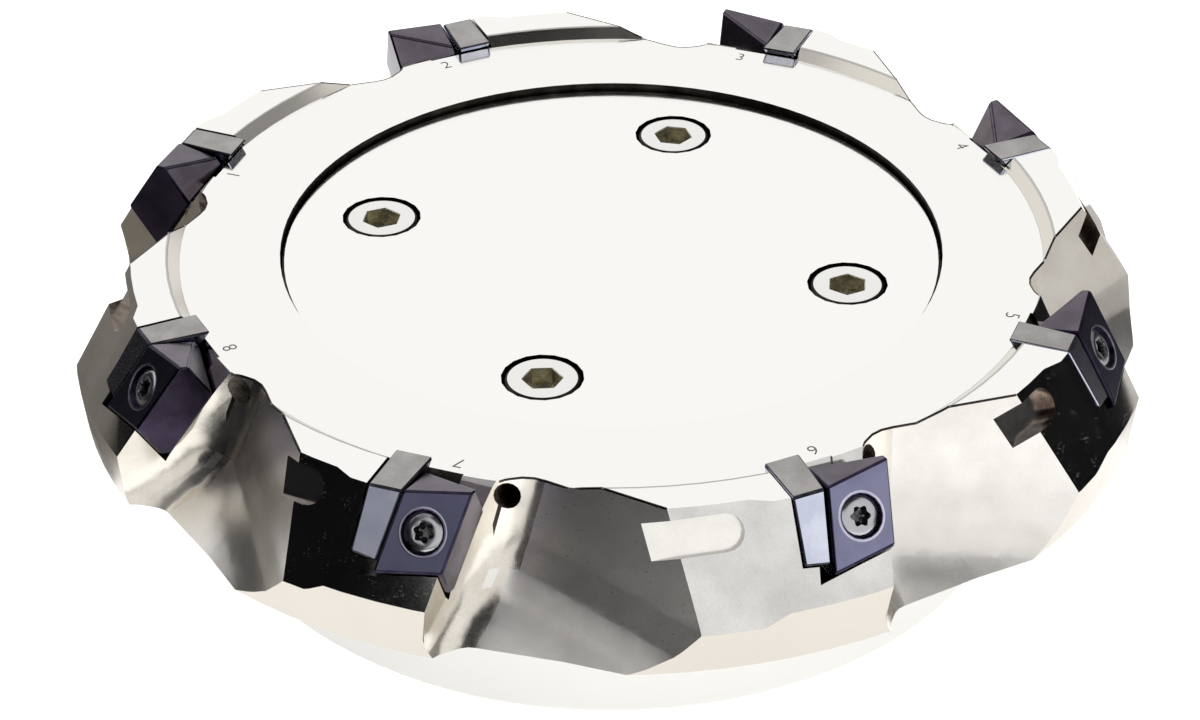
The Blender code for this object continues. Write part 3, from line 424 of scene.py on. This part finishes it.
def bodyKinds(mesh):
    # which finish each face of the body has, by where it lies and how it faces
    look = bodyFaces
    centre, normal, area = faceData(mesh)
    radius = np.hypot(centre[:, 0], centre[:, 1])
    height = centre[:, 2]
    rise = normal[:, 2]
    azimuth = np.degrees(np.arctan2(centre[:, 1], centre[:, 0]))
    turn = (azimuth[:, None] - toothAngles[None, :] + 180) % 360 - 180
    outward = (centre[:, 0] * normal[:, 0] + centre[:, 1] * normal[:, 1]) / np.maximum(radius, 1e-6)
    kind = np.full(len(centre), kindOf["pocket"])
    # a gullet face lies one mill radius from the path of the mill's centre, in steps of a millimetre along
    # the path's axes; each face is tried with both of the teeth beside it
    near, bowlNear = look["near"], look["bowlNear"]
    runEnd = gullet["run"] * 1000 + look["runPast"]
    for ahead in look["teethBeside"]:
        tooth = np.abs(turn + ahead).argmin(axis=1)
        local = toothLocal(normal, tooth)
        place = toothLocal(centre, tooth)
        steps = np.linalg.solve(gulletAxes, (place + local * gullet["radius"] - gulletCorner).T) * 1000
        bowl = np.sqrt(np.maximum(steps[0], 0)) + np.sqrt(np.maximum(steps[1], 0))
        bowl -= math.sqrt(gullet["reach"] * 1000)
        within = (steps > -near).all(axis=0) & (bowl > -bowlNear) & (steps[2] < runEnd)
        within &= (rise < look["gulletRise"]) & (radius > look["gulletRadius"])
        within &= height > look["gulletFoot"]
        wall = within & (steps[2] > near) & ((steps[0] < near) | (steps[1] < near) | (bowl < bowlNear))
        kind[within & (steps[2] <= near)] = kindOf["fillet"]
        kind[wall] = kindOf["wall"]
    plain = kind == kindOf["pocket"]
    kind[plain & (outward > look["flankOutward"]) & (rise > look["flankSlope"][0])
         & (rise < look["flankSlope"][1]) & (radius > look["flankRadius"])] = kindOf["flank"]
    plain = kind == kindOf["pocket"]
    kind[plain & (outward > look["rimOutward"]) & (height > mill["rimFootHeight"] - look["rimPast"])
         & (height < look["rimTop"] + look["rimPast"]) & (radius > look["rimRadius"])] = kindOf["rim"]
    kind[(rise > look["levelRise"]) & (height > look["levelHeight"])] = kindOf["face"]
    kind[(radius > look["stepRadii"][0]) & (radius < look["stepRadii"][1]) & (height > look["stepHeight"])
         & (rise > look["stepSlope"][0]) & (rise < look["stepSlope"][1])] = kindOf["step"]
    kind[height < mill["rimFootHeight"] + look["hubPast"]] = kindOf["hub"]
    # the slot and the coolant hole are found by depth and distance in the frame of their tooth
    tooth = np.abs(turn + look["teethBeside"][1]).argmin(axis=1)
    local = toothLocal(normal, tooth)
    place = toothLocal(centre, tooth)
    slotOut, surface, slotAlong = slotFrame()
    offset = place - surface
    depth = offset @ slotOut
    across = np.abs(offset @ np.cross(slotOut, slotAlong))
    run = np.abs(offset @ slotAlong)
    facing = local @ slotOut
    deepest, floorDepth, wallDepth, mouth = look["slotDepths"]
    inSlot = (depth > deepest) & (depth < mouth) & (across < look["slotHalfWidth"])
    inSlot &= (run < look["slotHalfRun"]) & ~np.isin(kind, gulletKinds)
    kind[inSlot & (depth < floorDepth) & (facing > look["slotFacings"][0])] = kindOf["slotFloor"]
    # the slot's steep walls take their painted shade
    kind[inSlot & (depth < wallDepth) & (facing < look["slotFacings"][1])] = kindOf["slotWall"]
    start = np.array(look["holeStart"])
    along = np.array(look["holeEnd"]) - start
    along /= np.linalg.norm(along)
    away = np.linalg.norm(np.cross(place - start, along), axis=1)
    inHole = (away < look["holeRadius"]) & (np.abs(local @ along) < look["holeFacing"])
    kind[inHole & (radius > look["holeFrom"])] = kindOf["coolantHole"]
    # the walls of the bore take the painted shade
    low, high = look["boreHeights"]
    kind[(radius < look["boreRadius"]) & (height > low) & (height < high)] = kindOf["bore"]
    # pocket faces high up behind the insert take the painted shade
    kind[(kind == kindOf["pocket"]) & (height > look["shadeHeight"]) & (radius < look["shadeRadius"])
         & (rise < look["shadeRise"])] = kindOf["pocketShade"]
    # slivers take the finish of the neighbour with which they share the longest edges
    ends, first, second = edgeTable(mesh)
    points = np.zeros(len(mesh.vertices) * 3)
    mesh.vertices.foreach_get("co", points)
    points = points.reshape(-1, 3)
    length = np.linalg.norm(points[ends[:, 0]] - points[ends[:, 1]], axis=1)
    for step in range(3):
        votes = np.zeros((len(kind), len(bodyFinish)))
        np.add.at(votes, (first, kind[second]), length)
        np.add.at(votes, (second, kind[first]), length)
        total = np.maximum(votes.sum(axis=1), 1e-9)
        inGullet = votes[:, gulletKinds].sum(axis=1) / total > look["gulletShare"]
        small = (area < look["sliver"]) | ((area < look["smallFace"]) & inGullet)
        small &= np.isin(kind, (kindOf["flank"], kindOf["pocket"]))
        kind[small] = votes[small].argmax(axis=1)
    return kind


def refined(mesh, look):
    # halves the long edges of the chosen faces until none is over the longest, so that they can be polished;
    # edges are taken in the mesh's own order, so that every run gives the same triangles
    made = bmesh.new()
    made.from_mesh(mesh)
    chosen = set(look["kinds"])
    for step in range(look["rounds"]):
        bmesh.ops.triangulate(made, faces=[f for f in made.faces if f.material_index in chosen])
        faces = [f for f in made.faces if f.material_index in chosen]
        flat = [e for e in made.edges if e.link_faces and e.calc_face_angle(0.0) < look["flatAngle"]
                and all(f.material_index in chosen for f in e.link_faces)]
        bmesh.ops.beautify_fill(made, faces=faces, edges=flat, method="ANGLE")
        longEdges = [e for e in made.edges if e.calc_length() > look["longest"]
                     and any(f.material_index in chosen for f in e.link_faces)]
        if not longEdges:
            break
        bmesh.ops.subdivide_edges(made, edges=longEdges, cuts=1)
    bmesh.ops.triangulate(made, faces=[f for f in made.faces if f.material_index in chosen])
    made.to_mesh(mesh)
    made.free()


def edgeTable(mesh):
    # ends of every edge, and the two faces beside it (-1 where it has only one)
    ends = np.zeros(len(mesh.edges) * 2, int)
    mesh.edges.foreach_get("vertices", ends)
    loopEdge = np.zeros(len(mesh.loops), int)
    loopTotal = np.zeros(len(mesh.polygons), int)
    mesh.loops.foreach_get("edge_index", loopEdge)
    mesh.polygons.foreach_get("loop_total", loopTotal)
    loopFace = np.repeat(np.arange(len(loopTotal)), loopTotal)
    order = np.argsort(loopEdge, kind="stable")
    start = np.searchsorted(loopEdge[order], np.arange(len(mesh.edges)))
    count = np.bincount(loopEdge, minlength=len(mesh.edges))
    first = loopFace[order[start]]
    second = np.where(count > 1, loopFace[order[np.minimum(start + 1, len(order) - 1)]], -1)
    return ends.reshape(-1, 2), first, second


def creased(mesh, degrees):
    # smooth faces, parted at every edge that folds more than this
    ends, first, second = edgeTable(mesh)
    centre, normal, area = faceData(mesh)
    cosine = (normal[first] * normal[second]).sum(axis=1)
    mesh.polygons.foreach_set("use_smooth", np.ones(len(mesh.polygons), bool))
    mesh.edges.foreach_set("use_edge_sharp", (cosine < math.cos(math.radians(degrees))) | (second < 0))
    mesh.update()


def polished(shown, look):
    # spreads the normals of the chosen faces over a few millimetres, as polishing rounds a milled wall:
    # each point's normal becomes the mean of its own and its neighbours', over and over; points stay put
    mesh = shown.data
    kinds = np.zeros(len(mesh.polygons), int)
    mesh.polygons.foreach_get("material_index", kinds)
    chosen = np.append(np.isin(kinds, look["kinds"]), False)
    even = shown.evaluated_get(bpy.context.evaluated_depsgraph_get()).data
    corners = np.zeros(len(mesh.loops) * 3)
    even.corner_normals.foreach_get("vector", corners)
    corners = corners.reshape(-1, 3)
    loopPoint = np.zeros(len(mesh.loops), int)
    loopTotal = np.zeros(len(mesh.polygons), int)
    mesh.loops.foreach_get("vertex_index", loopPoint)
    mesh.polygons.foreach_get("loop_total", loopTotal)
    loopFace = np.repeat(np.arange(len(loopTotal)), loopTotal)
    centre, normal, area = faceData(mesh)
    use = chosen[loopFace]
    weighted = normal[loopFace[use]] * area[loopFace[use], None]
    count = len(mesh.vertices)
    spread = np.stack([np.bincount(loopPoint[use], weighted[:, i], count) for i in range(3)], -1)
    spread /= np.maximum(np.linalg.norm(spread, axis=1), 1e-12)[:, None]
    ends, first, second = edgeTable(mesh)
    a, b = ends[chosen[first] & chosen[second]].T
    for step in range(look["passes"]):
        beside = [np.bincount(np.append(a, b), np.append(spread[b, i], spread[a, i]), count)
                  for i in range(3)]
        total = spread + np.stack(beside, -1)
        spread = total / np.maximum(np.linalg.norm(total, axis=1), 1e-12)[:, None]
    corners[use] = spread[loopPoint[use]]
    shown.modifiers.clear()
    mesh.normals_split_custom_set(corners.tolist())
    print("polished", int(use.sum()), "corners")


def brokenEdge(name, mesh, look):
    # a narrow strip over each sharp edge between a level face and a milled wall, three rows of points:
    # one in from the edge on the level face, one on the edge, one down the wall, each lifted off its face
    kinds = np.zeros(len(mesh.polygons), int)
    mesh.polygons.foreach_get("material_index", kinds)
    kinds = np.append(kinds, -1)
    centre, normal, area = faceData(mesh)
    ends, first, second = edgeTable(mesh)
    swap = np.isin(kinds[second], look["levels"]) & np.isin(kinds[first], look["kinds"])
    use = (np.isin(kinds[first], look["levels"]) & np.isin(kinds[second], look["kinds"])) | swap
    wallFace = np.where(swap, first, second)[use]
    ends = ends[use]
    points = np.zeros(len(mesh.vertices) * 3)
    mesh.vertices.foreach_get("co", points)
    points = points.reshape(-1, 3)
    wall = np.stack([np.bincount(ends.reshape(-1), np.repeat(normal[wallFace, i], 2), len(points))
                     for i in range(3)], -1)
    used, index = np.unique(ends, return_inverse=True)
    index = index.reshape(-1, 2)
    wall = wall[used] / np.maximum(np.linalg.norm(wall[used], axis=1), 1e-9)[:, None]
    level = wall * (1, 1, 0)
    level /= np.maximum(np.linalg.norm(level, axis=1), 1e-9)[:, None]
    up = np.array((0.0, 0.0, 1.0))
    down = wall * wall[:, 2:3] - up
    down /= np.maximum(np.linalg.norm(down, axis=1), 1e-9)[:, None]
    at = points[used]
    rows = np.concatenate((at - level * look["level"] + up * look["lift"], at + (up + wall) * look["lift"],
                           at + down * look["wall"] + wall * look["lift"]))
    count = len(used)
    a, b = index.T
    ahead = np.cross(at[b] - at[a], level[a])[:, 2] > 0
    a, b = np.where(ahead, a, b), np.where(ahead, b, a)
    faces = np.concatenate((np.stack((a, b, b + count, a + count), -1),
                            np.stack((a + count, b + count, b + 2 * count, a + 2 * count), -1)))
    strip = bpy.data.meshes.new(name)
    strip.from_pydata(rows.tolist(), [], faces.tolist())
    strip.polygons.foreach_set("use_smooth", np.ones(len(faces), bool))
    strip.update()
    print(name, len(a), "edges")
    return showPiece(name, strip, None, (look["finish"],))


body = weldedCopy("cutter_body", {"slot": "body", "sharpAngle": 26, "finish": bodyFinish})
kind = bodyKinds(body.data)
body.data.polygons.foreach_set("material_index", kind)
refined(body.data, {"kinds": gulletKinds, "longest": 0.0018, "rounds": 7, "flatAngle": 0.03})
creased(body.data, 26)
polished(body, {"kinds": gulletKinds, "passes": 10})
# the gullet's edge strips, painted dark for the reflection of the dark room in their chamfers
brokenEdge("gulletEdges", body.data, {
    "levels": (kindOf["face"], kindOf["step"]), "kinds": gulletKinds + (kindOf["coolantHole"],),
    "level": 0.00022, "wall": 0.00035, "lift": 0.00003, "finish": "edge"})
# the land's corner strips, painted grey for the reflection in the rounded corner
brokenEdge("landEdges", body.data, {
    "levels": (kindOf["face"],), "kinds": (kindOf["step"],),
    "level": 0.00028, "wall": 0.00030, "lift": 0.00002, "finish": "softEdge"})
print("body done:", len(body.data.polygons), "faces")

# the walls of the cap's screw holes take the bore's painted shade, and its outer wall does not
cap = weldedCopy("coolant_cap", {"slot": "cap", "sharpAngle": 26, "finish": ("cap", "bore")})
capHoles = {"reach": 0.066, "rise": 0.5}
centre, normal, area = faceData(cap.data)
inHole = np.abs(normal[:, 2]) < capHoles["rise"]
inHole &= np.hypot(centre[:, 0], centre[:, 1]) < capHoles["reach"]
cap.data.polygons.foreach_set("material_index", inHole.astype(int))


def turnedSurface(name, radii, heights, matrix):
    # surface of revolution with a radius that may vary round it: (k, a) -> (r_k(a) cos a, r_k(a) sin a, z_k)
    rows, columns = radii.shape
    angle = np.arange(columns) / columns * 2 * math.pi
    x = radii * np.cos(angle)
    y = radii * np.sin(angle)
    z = np.broadcast_to(heights[:, None], radii.shape)
    points = np.stack((x, y, z), -1).reshape(-1, 3)
    row, column = np.meshgrid(np.arange(rows - 1), np.arange(columns), indexing="ij")
    ahead = (column + 1) % columns
    faces = np.stack((row * columns + column, (row + 1) * columns + column,
                      (row + 1) * columns + ahead, row * columns + ahead), -1).reshape(-1, 4)
    mesh = bpy.data.meshes.new(name)
    mesh.from_pydata(points.tolist(), [], faces.tolist())
    made = bmesh.new()
    made.from_mesh(mesh)
    bmesh.ops.remove_doubles(made, verts=made.verts, dist=1e-7)
    made.to_mesh(mesh)
    made.free()
    mesh.transform(matrix)
    mesh.polygons.foreach_set("use_smooth", np.ones(len(mesh.polygons), bool))
    mesh.set_sharp_from_angle(angle=math.radians(28))
    return mesh, row.reshape(-1)


def lathe(profile, columns, shape):
    # profile rows are (radius, height, share of the socket's outline), and shape(a) is that outline about 1:
    # the radius of row k at angle a is r_k * (1 + share_k * (shape(a) - 1))
    rows = np.array(profile)
    angle = np.arange(columns) / columns * 2 * math.pi
    outline = shape(angle)
    return rows[:, :1] * (1 + rows[:, 2:3] * (outline[None, :] - 1)), rows[:, 1]


def hexagon(angle):
    # how far out a hexagon with flats at distance 1 lies at this angle
    return 1 / np.cos((angle + math.pi / 6) % (math.pi / 3) - math.pi / 6)


def sixLobes(angle):
    # a six-lobed outline, a wave of six crests about 1
    return 1 + 0.13 * np.cos(6 * angle)


# profiles go from the middle of the socket outwards and down to the screw's point, in metres; turns are
# the hexagons' own, in degrees
capScrew = {
    "circle": 0.0503, "drop": 0.0002, "turns": (12.0, 34.0, 7.0, 49.0), "columns": 96,
    "profile": ((0, -0.0042, 0), (0.0030, -0.0040, 1), (0.0035, -0.0038, 1), (0.0035, -0.00015, 1),
                (0.0037, 0, 0.9), (0.0043, 0, 0), (0.0070, 0, 0), (0.0073, -0.0001, 0),
                (0.0077, -0.0004, 0), (0.0080, -0.0010, 0),
                (0.0080, -0.0060, 0), (0.0050, -0.0060, 0), (0.0050, -0.0250, 0), (0.0040, -0.0260, 0),
                (0, -0.0260, 0)),
    "socketRadius": 0.0041, "socketHeights": (-0.0048, -0.00022), "paintedShadeRadius": 0.0070,
}
for index in range(4):
    number = index + 1
    spin = Matrix.Rotation(math.radians(90 * index), 4, "Z")
    place = spin @ Matrix.Translation((capScrew["circle"], 0, mill["capTop"] - capScrew["drop"]))
    place = place @ Matrix.Rotation(math.radians(capScrew["turns"][index] - 90 * index), 4, "Z")
    radii, heights = lathe(capScrew["profile"], capScrew["columns"], hexagon)
    mesh, row = turnedSurface(f"capScrew{number}", radii, heights, place)
    showPiece(f"capScrew{number}", mesh, f"cap_screw_{number}", ("capScrew", "socket", "bore"))
    centre, normal, area = faceData(mesh)
    away = np.hypot(*(centre - np.array(place.translation))[:, :2].T)
    height = centre[:, 2] - mill["capTop"]
    inSocket = (away < capScrew["socketRadius"]) & (height > capScrew["socketHeights"][0])
    inSocket &= height < capScrew["socketHeights"][1]
    # the head's outer chamfer and side take the bore's painted shade, for the dark gap round the head
    dark = away > capScrew["paintedShadeRadius"]
    mesh.polygons.foreach_set("material_index", np.where(inSocket, 1, np.where(dark, 2, 0)))
print("cap and its screws done")

# edge rounds in metres, and the area in square metres over which a face is a side and not an edge round
insert = {
    "width": 0.0138, "edgeLength": 0.0164, "screwDrop": 0.0004, "rounding": 0.00022, "sideArea": 8e-6,
}
shim = {"rounding": 0.00016, "sideArea": 6e-6}
screwPlace = Vector(((pocketBack.x * insert["width"]) / 2,
                     (pocketBack.y * insert["width"] + insert["edgeLength"]) / 2, 0.0))
insertScrew = {
    "columns": 96, "rimColumns": 48, "recessRows": 4,
    "rim": ((0.00432, -0.00030, 0), (0.00444, 0.00002, 0), (0.00466, 0.00004, 0), (0.00488, 0.00001, 0)),
    "profile": ((0, -0.0026, 0), (0.0010, -0.0025, 1), (0.00155, -0.0021, 1), (0.00170, -0.00030, 1),
                (0.00186, -0.00004, 1), (0.00215, 0, 0.2), (0.0024, 0.00002, 0), (0.0031, -0.00010, 0),
                (0.0037, -0.00030, 0), (0.0041, -0.00060, 0), (0.00422, -0.0009, 0), (0.0025, -0.0038, 0),
                (0.0025, -0.0174, 0), (0.0019, -0.0180, 0), (0, -0.0180, 0)),
}
for index in range(8):
    number = index + 1
    pocketPlace = toothTurn(index) @ pocket
    # the insert's bevelled edges and small faces take finish 2, the thin line painted dark for the shade
    # along the rounding
    shown = weldedCopy(f"insert_{number}", {
        "slot": "insert", "finish": ("insert", "insertRake", "insertEdge", "insertTop"), "sharpAngle": 26,
        "bevel": insert["rounding"], "edgeFinish": 2})
    centre, normal, area = faceData(shown.data)
    inverse = pocketPlace.inverted()
    local = np.array([list(inverse.to_3x3() @ Vector(n)) for n in normal])
    # of the large faces the one out along the pocket's Z holds the screw, the one against its Y is the top
    # the other large faces get the rake face's painted shade
    side = area > insert["sideArea"]
    kinds = np.where(side, 1, 2)
    kinds[side & (local[:, 1] < -0.6)] = 3
    kinds[side & (local[:, 2] > 0.9)] = 0
    shown.data.polygons.foreach_set("material_index", kinds)
    radii, heights = lathe(insertScrew["profile"], insertScrew["columns"], sixLobes)
    place = pocketPlace @ Matrix.Translation(screwPlace - Vector((0, 0, insert["screwDrop"])))
    mesh, row = turnedSurface(f"insertScrew{number}", radii, heights, place)
    showPiece(f"insertScrew{number}", mesh, f"insert_screw_{number}", ("screw", "recess"))
    # the recess rows take the painted shade of the hollow
    mesh.polygons.foreach_set("material_index", (row < insertScrew["recessRows"]).astype(int))
    # a thin ring at the countersink's edge, carrying the painted highlight
    radii, heights = lathe(insertScrew["rim"], insertScrew["rimColumns"], sixLobes)
    place = pocketPlace @ Matrix.Translation(screwPlace)
    mesh, row = turnedSurface(f"countersinkRim{number}", radii, heights, place)
    showPiece(f"countersinkRim{number}", mesh, None, ("insertRing",))
    # the shim's bevelled edges and small faces take finish 2, the painted dark edge line
    shown = weldedCopy(f"shim_{number}", {
        "slot": "shim", "finish": ("shim", "shimTop", "shimEdge"), "sharpAngle": 26,
        "bevel": shim["rounding"], "edgeFinish": 2})
    centre, normal, area = faceData(shown.data)
    side = area > shim["sideArea"]
    kinds = np.where(side, 0, 2)
    kinds[side & (normal[:, 2] > 0.8)] = 1
    shown.data.polygons.foreach_set("material_index", kinds)
    weldedCopy(f"shim_screw_{number}", {"slot": "shim_screw", "finish": ("screw",), "sharpAngle": 26})
print("teeth done")

# tooth numbers, laser-marked on the annulus with their tops outward
marking, tree, shader = newMaterial("laserMark", "#6F6C69", 0.6, 0.0)
where = addNode(tree, "ShaderNodeTexCoord").outputs["Object"]
fade = addNode(tree, "ShaderNodeTexNoise", {"Vector": where, "Scale": 3000, "Detail": 2.0})
tint = addNode(tree, "ShaderNodeValToRGB", {"Fac": fade.outputs["Fac"]})
setRamp(tint, ((0.3, "#413F3D"), (0.7, "#6E6B68")))
tree.links.new(tint.outputs[0], shader.inputs["Base Color"])
numbers = {"size": 0.0043, "thin": -0.00005, "radius": 0.08565, "behind": 4.77, "lift": 0.00003}
for index in range(8):
    curve = bpy.data.curves.new(f"number{index + 1}Text", "FONT")
    curve.body = str(index + 1)
    curve.size = numbers["size"]
    curve.offset = numbers["thin"]
    curve.align_x = "CENTER"
    curve.align_y = "CENTER"
    text = bpy.data.objects.new(f"number{index + 1}Source", curve)
    bpy.context.scene.collection.objects.link(text)
    bpy.context.view_layer.update()
    mesh = bpy.data.meshes.new_from_object(text.evaluated_get(bpy.context.evaluated_depsgraph_get()))
    bpy.data.objects.remove(text)
    place = (toothTurn(index) @ Matrix.Rotation(math.radians(-numbers["behind"]), 4, "Z")
             @ Matrix.Translation((numbers["radius"], 0, mill["faceHeight"] + numbers["lift"]))
             @ Matrix.Rotation(-math.pi / 2, 4, "Z"))
    mesh.transform(place)
    mesh.materials.clear()
    mesh.materials.append(marking)
    mark = bpy.data.objects.new(f"toothNumber{index + 1}", mesh)
    bpy.context.scene.collection.objects.link(mark)
    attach(mark, "root")
print("numbers done")


# studio: pale floor, white surroundings, and dark cards where the bright nickel mirrors the unlit room
def hangCloth(name, points, colour):
    # a matt sheet over a grid of points, seen only in the reflections on the metal
    rows, columns = points.shape[:2]
    row, column = np.meshgrid(np.arange(rows - 1), np.arange(columns - 1), indexing="ij")
    corner = (row * columns + column).reshape(-1)
    faces = np.stack((corner, corner + 1, corner + columns + 1, corner + columns), -1)
    mesh = bpy.data.meshes.new(name)
    mesh.from_pydata(points.reshape(-1, 3).tolist(), [], faces.tolist())
    made, tree, shader = newMaterial(name + "Cloth", colour, 0.9, 0.0)
    shader.inputs["Specular IOR Level"].default_value = 0.0
    mesh.materials.append(made)
    cloth = bpy.data.objects.new(name, mesh)
    bpy.context.scene.collection.objects.link(cloth)
    cloth.visible_camera = False
    cloth.visible_shadow = False
    cloth.visible_diffuse = False


# azimuth from +Y towards +X and height above the floor in degrees, distance in metres
cards = {
    "darkCardLeft": {"azimuth": (-165, -66), "height": (-5, 25), "distance": 2.50, "colour": "#0E0E10"},
    "darkCardRight": {"azimuth": (20, 98), "height": (-3, 15), "distance": 2.50, "colour": "#141416"},
    "darkCardFront": {"azimuth": (166, 194), "height": (-10, 6), "distance": 2.40, "colour": "#202022"},
    "darkCardAbove": {"azimuth": (69, 205), "height": (50, 80), "distance": 2.30, "colour": "#1C1C1E"},
    "greyCardAbove": {"azimuth": (205, 280), "height": (60, 77), "distance": 2.30, "colour": "#B4B4B6"},
    "greyCardRight": {"azimuth": (6, 66), "height": (16, 50), "distance": 2.42, "colour": "#8A8A8C"},
    "dimCardLeft": {"azimuth": (-166, -150), "height": (25, 36), "distance": 2.45, "colour": "#A0A0A2"},
    "dimCardLow": {"azimuth": (-150, -112), "height": (25, 42), "distance": 2.45, "colour": "#3C3C3E"},
    "dimCardHigh": {"azimuth": (-150, -112), "height": (42, 60), "distance": 2.45, "colour": "#7C7C7E"},
}
for name, look in cards.items():
    # part of a sphere: (a, e) -> distance * (sin a cos e, cos a cos e, sin e)
    across = np.radians(np.linspace(*look["azimuth"], 33))
    upward = np.radians(np.linspace(*look["height"], 17))
    a, e = np.meshgrid(across, upward, indexing="ij")
    points = look["distance"] * np.stack((np.sin(a) * np.cos(e), np.cos(a) * np.cos(e), np.sin(e)), -1)
    hangCloth(name, points, look["colour"])
# cloths on the floor: azimuth the same way, reach from the axis and lift above the floor in metres
cloths = {
    "darkClothLeft": {"azimuth": (-165, -112), "reach": (0.17, 2.6), "lift": 0.0006, "colour": "#1A1A1C"},
    "greyClothLeft": {"azimuth": (-112, -45), "reach": (0.12, 2.6), "lift": 0.0006, "colour": "#77736E"},
    "darkClothRight": {"azimuth": (20, 62), "reach": (0.55, 2.6), "lift": 0.0006, "colour": "#1A1A1C"},
    "greyClothRight": {"azimuth": (30, 75), "reach": (0.13, 0.55), "lift": 0.0006, "colour": "#D2CFCA"},
}
for name, look in cloths.items():
    # part of a ring: (a, r) -> (r sin a, r cos a, lift)
    a, r = np.meshgrid(np.radians(np.linspace(*look["azimuth"], 25)), look["reach"], indexing="ij")
    points = np.stack((r * np.sin(a), r * np.cos(a), np.full_like(r, look["lift"])), -1)
    hangCloth(name, points, look["colour"])

# pale floor that glows a little, so that it stays white and the shadow under the hub stays soft
floorLook = {"half": 4.0, "depth": -0.0001, "colour": "#F4F4F4", "roughness": 0.6, "glow": 0.55}
half, depth = floorLook["half"], floorLook["depth"]
floorMesh = bpy.data.meshes.new("floor")
corners = [(-half, -half, depth), (half, -half, depth), (half, half, depth), (-half, half, depth)]
floorMesh.from_pydata(corners, [], [(0, 1, 2, 3)])
made, tree, shader = newMaterial("paintedFloor", floorLook["colour"], floorLook["roughness"], 0.0)
shader.inputs["Specular IOR Level"].default_value = 0.2
shader.inputs["Emission Color"].default_value = (1, 1, 1, 1)
shader.inputs["Emission Strength"].default_value = floorLook["glow"]
floorMesh.materials.append(made)
floor = bpy.data.objects.new("floor", floorMesh)
bpy.context.scene.collection.objects.link(floor)

# white surroundings: a little weaker as light than as seen by the camera and in reflections
world = bpy.data.worlds.new("studio")
bpy.context.scene.world = world
world.use_nodes = True
tree = world.node_tree
backdrop = tree.nodes["Background"]
path = addNode(tree, "ShaderNodeLightPath")
seen = addNode(tree, "ShaderNodeMath", {
    0: path.outputs["Is Camera Ray"], 1: path.outputs["Is Glossy Ray"]}, operation="ADD")
seen = addNode(tree, "ShaderNodeMath", {
    0: seen.outputs[0], 1: path.outputs["Is Transmission Ray"]}, operation="ADD")
strength = addNode(tree, "ShaderNodeMapRange", {
    "Value": seen.outputs[0], "From Min": 0.0, "From Max": 1.0, "To Min": 0.85, "To Max": 1.0})
backdrop.inputs["Color"].default_value = (1, 1, 1, 1)
tree.links.new(strength.outputs[0], backdrop.inputs["Strength"])

lamps = {
    "keyLamp": {"place": (-0.7, 1.2, 1.4), "size": 1.2, "watts": 9},
    "fillLamp": {"place": (1.1, -0.6, 1.0), "size": 0.8, "watts": 4},
}
for name, look in lamps.items():
    lamp = bpy.data.lights.new(name, "AREA")
    lamp.shape = "DISK"
    lamp.size = look["size"]
    lamp.energy = look["watts"]
    holder = bpy.data.objects.new(name, lamp)
    holder.matrix_world = (Matrix.Translation(look["place"])
                           @ (-Vector(look["place"])).to_track_quat("-Z", "Y").to_matrix().to_4x4())
    holder.visible_camera = False
    holder.visible_glossy = False
    bpy.context.scene.collection.objects.link(holder)

# the photograph's own viewing angle and distance
viewpoint = {
    "lens": 115.596, "sensor": 36, "place": (0.185975, -0.65955, 0.473692),
    "right": (0.962278, 0.272032, -0.004477), "up": (-0.144266, 0.524138, 0.839325),
    "away": (-0.23067, 0.807018, -0.543611),
}
lens = bpy.data.cameras.new("camera")
lens.lens = viewpoint["lens"]
lens.sensor_width = viewpoint["sensor"]
lens.clip_start = 0.05
camera = bpy.data.objects.new("camera", lens)
turned = Matrix((viewpoint["right"], viewpoint["up"], -Vector(viewpoint["away"]))).transposed().to_4x4()
camera.matrix_world = Matrix.Translation(viewpoint["place"]) @ turned
bpy.context.scene.collection.objects.link(camera)
bpy.context.scene.camera = camera
bpy.context.scene.view_settings.view_transform = "Standard"
print("studio done")
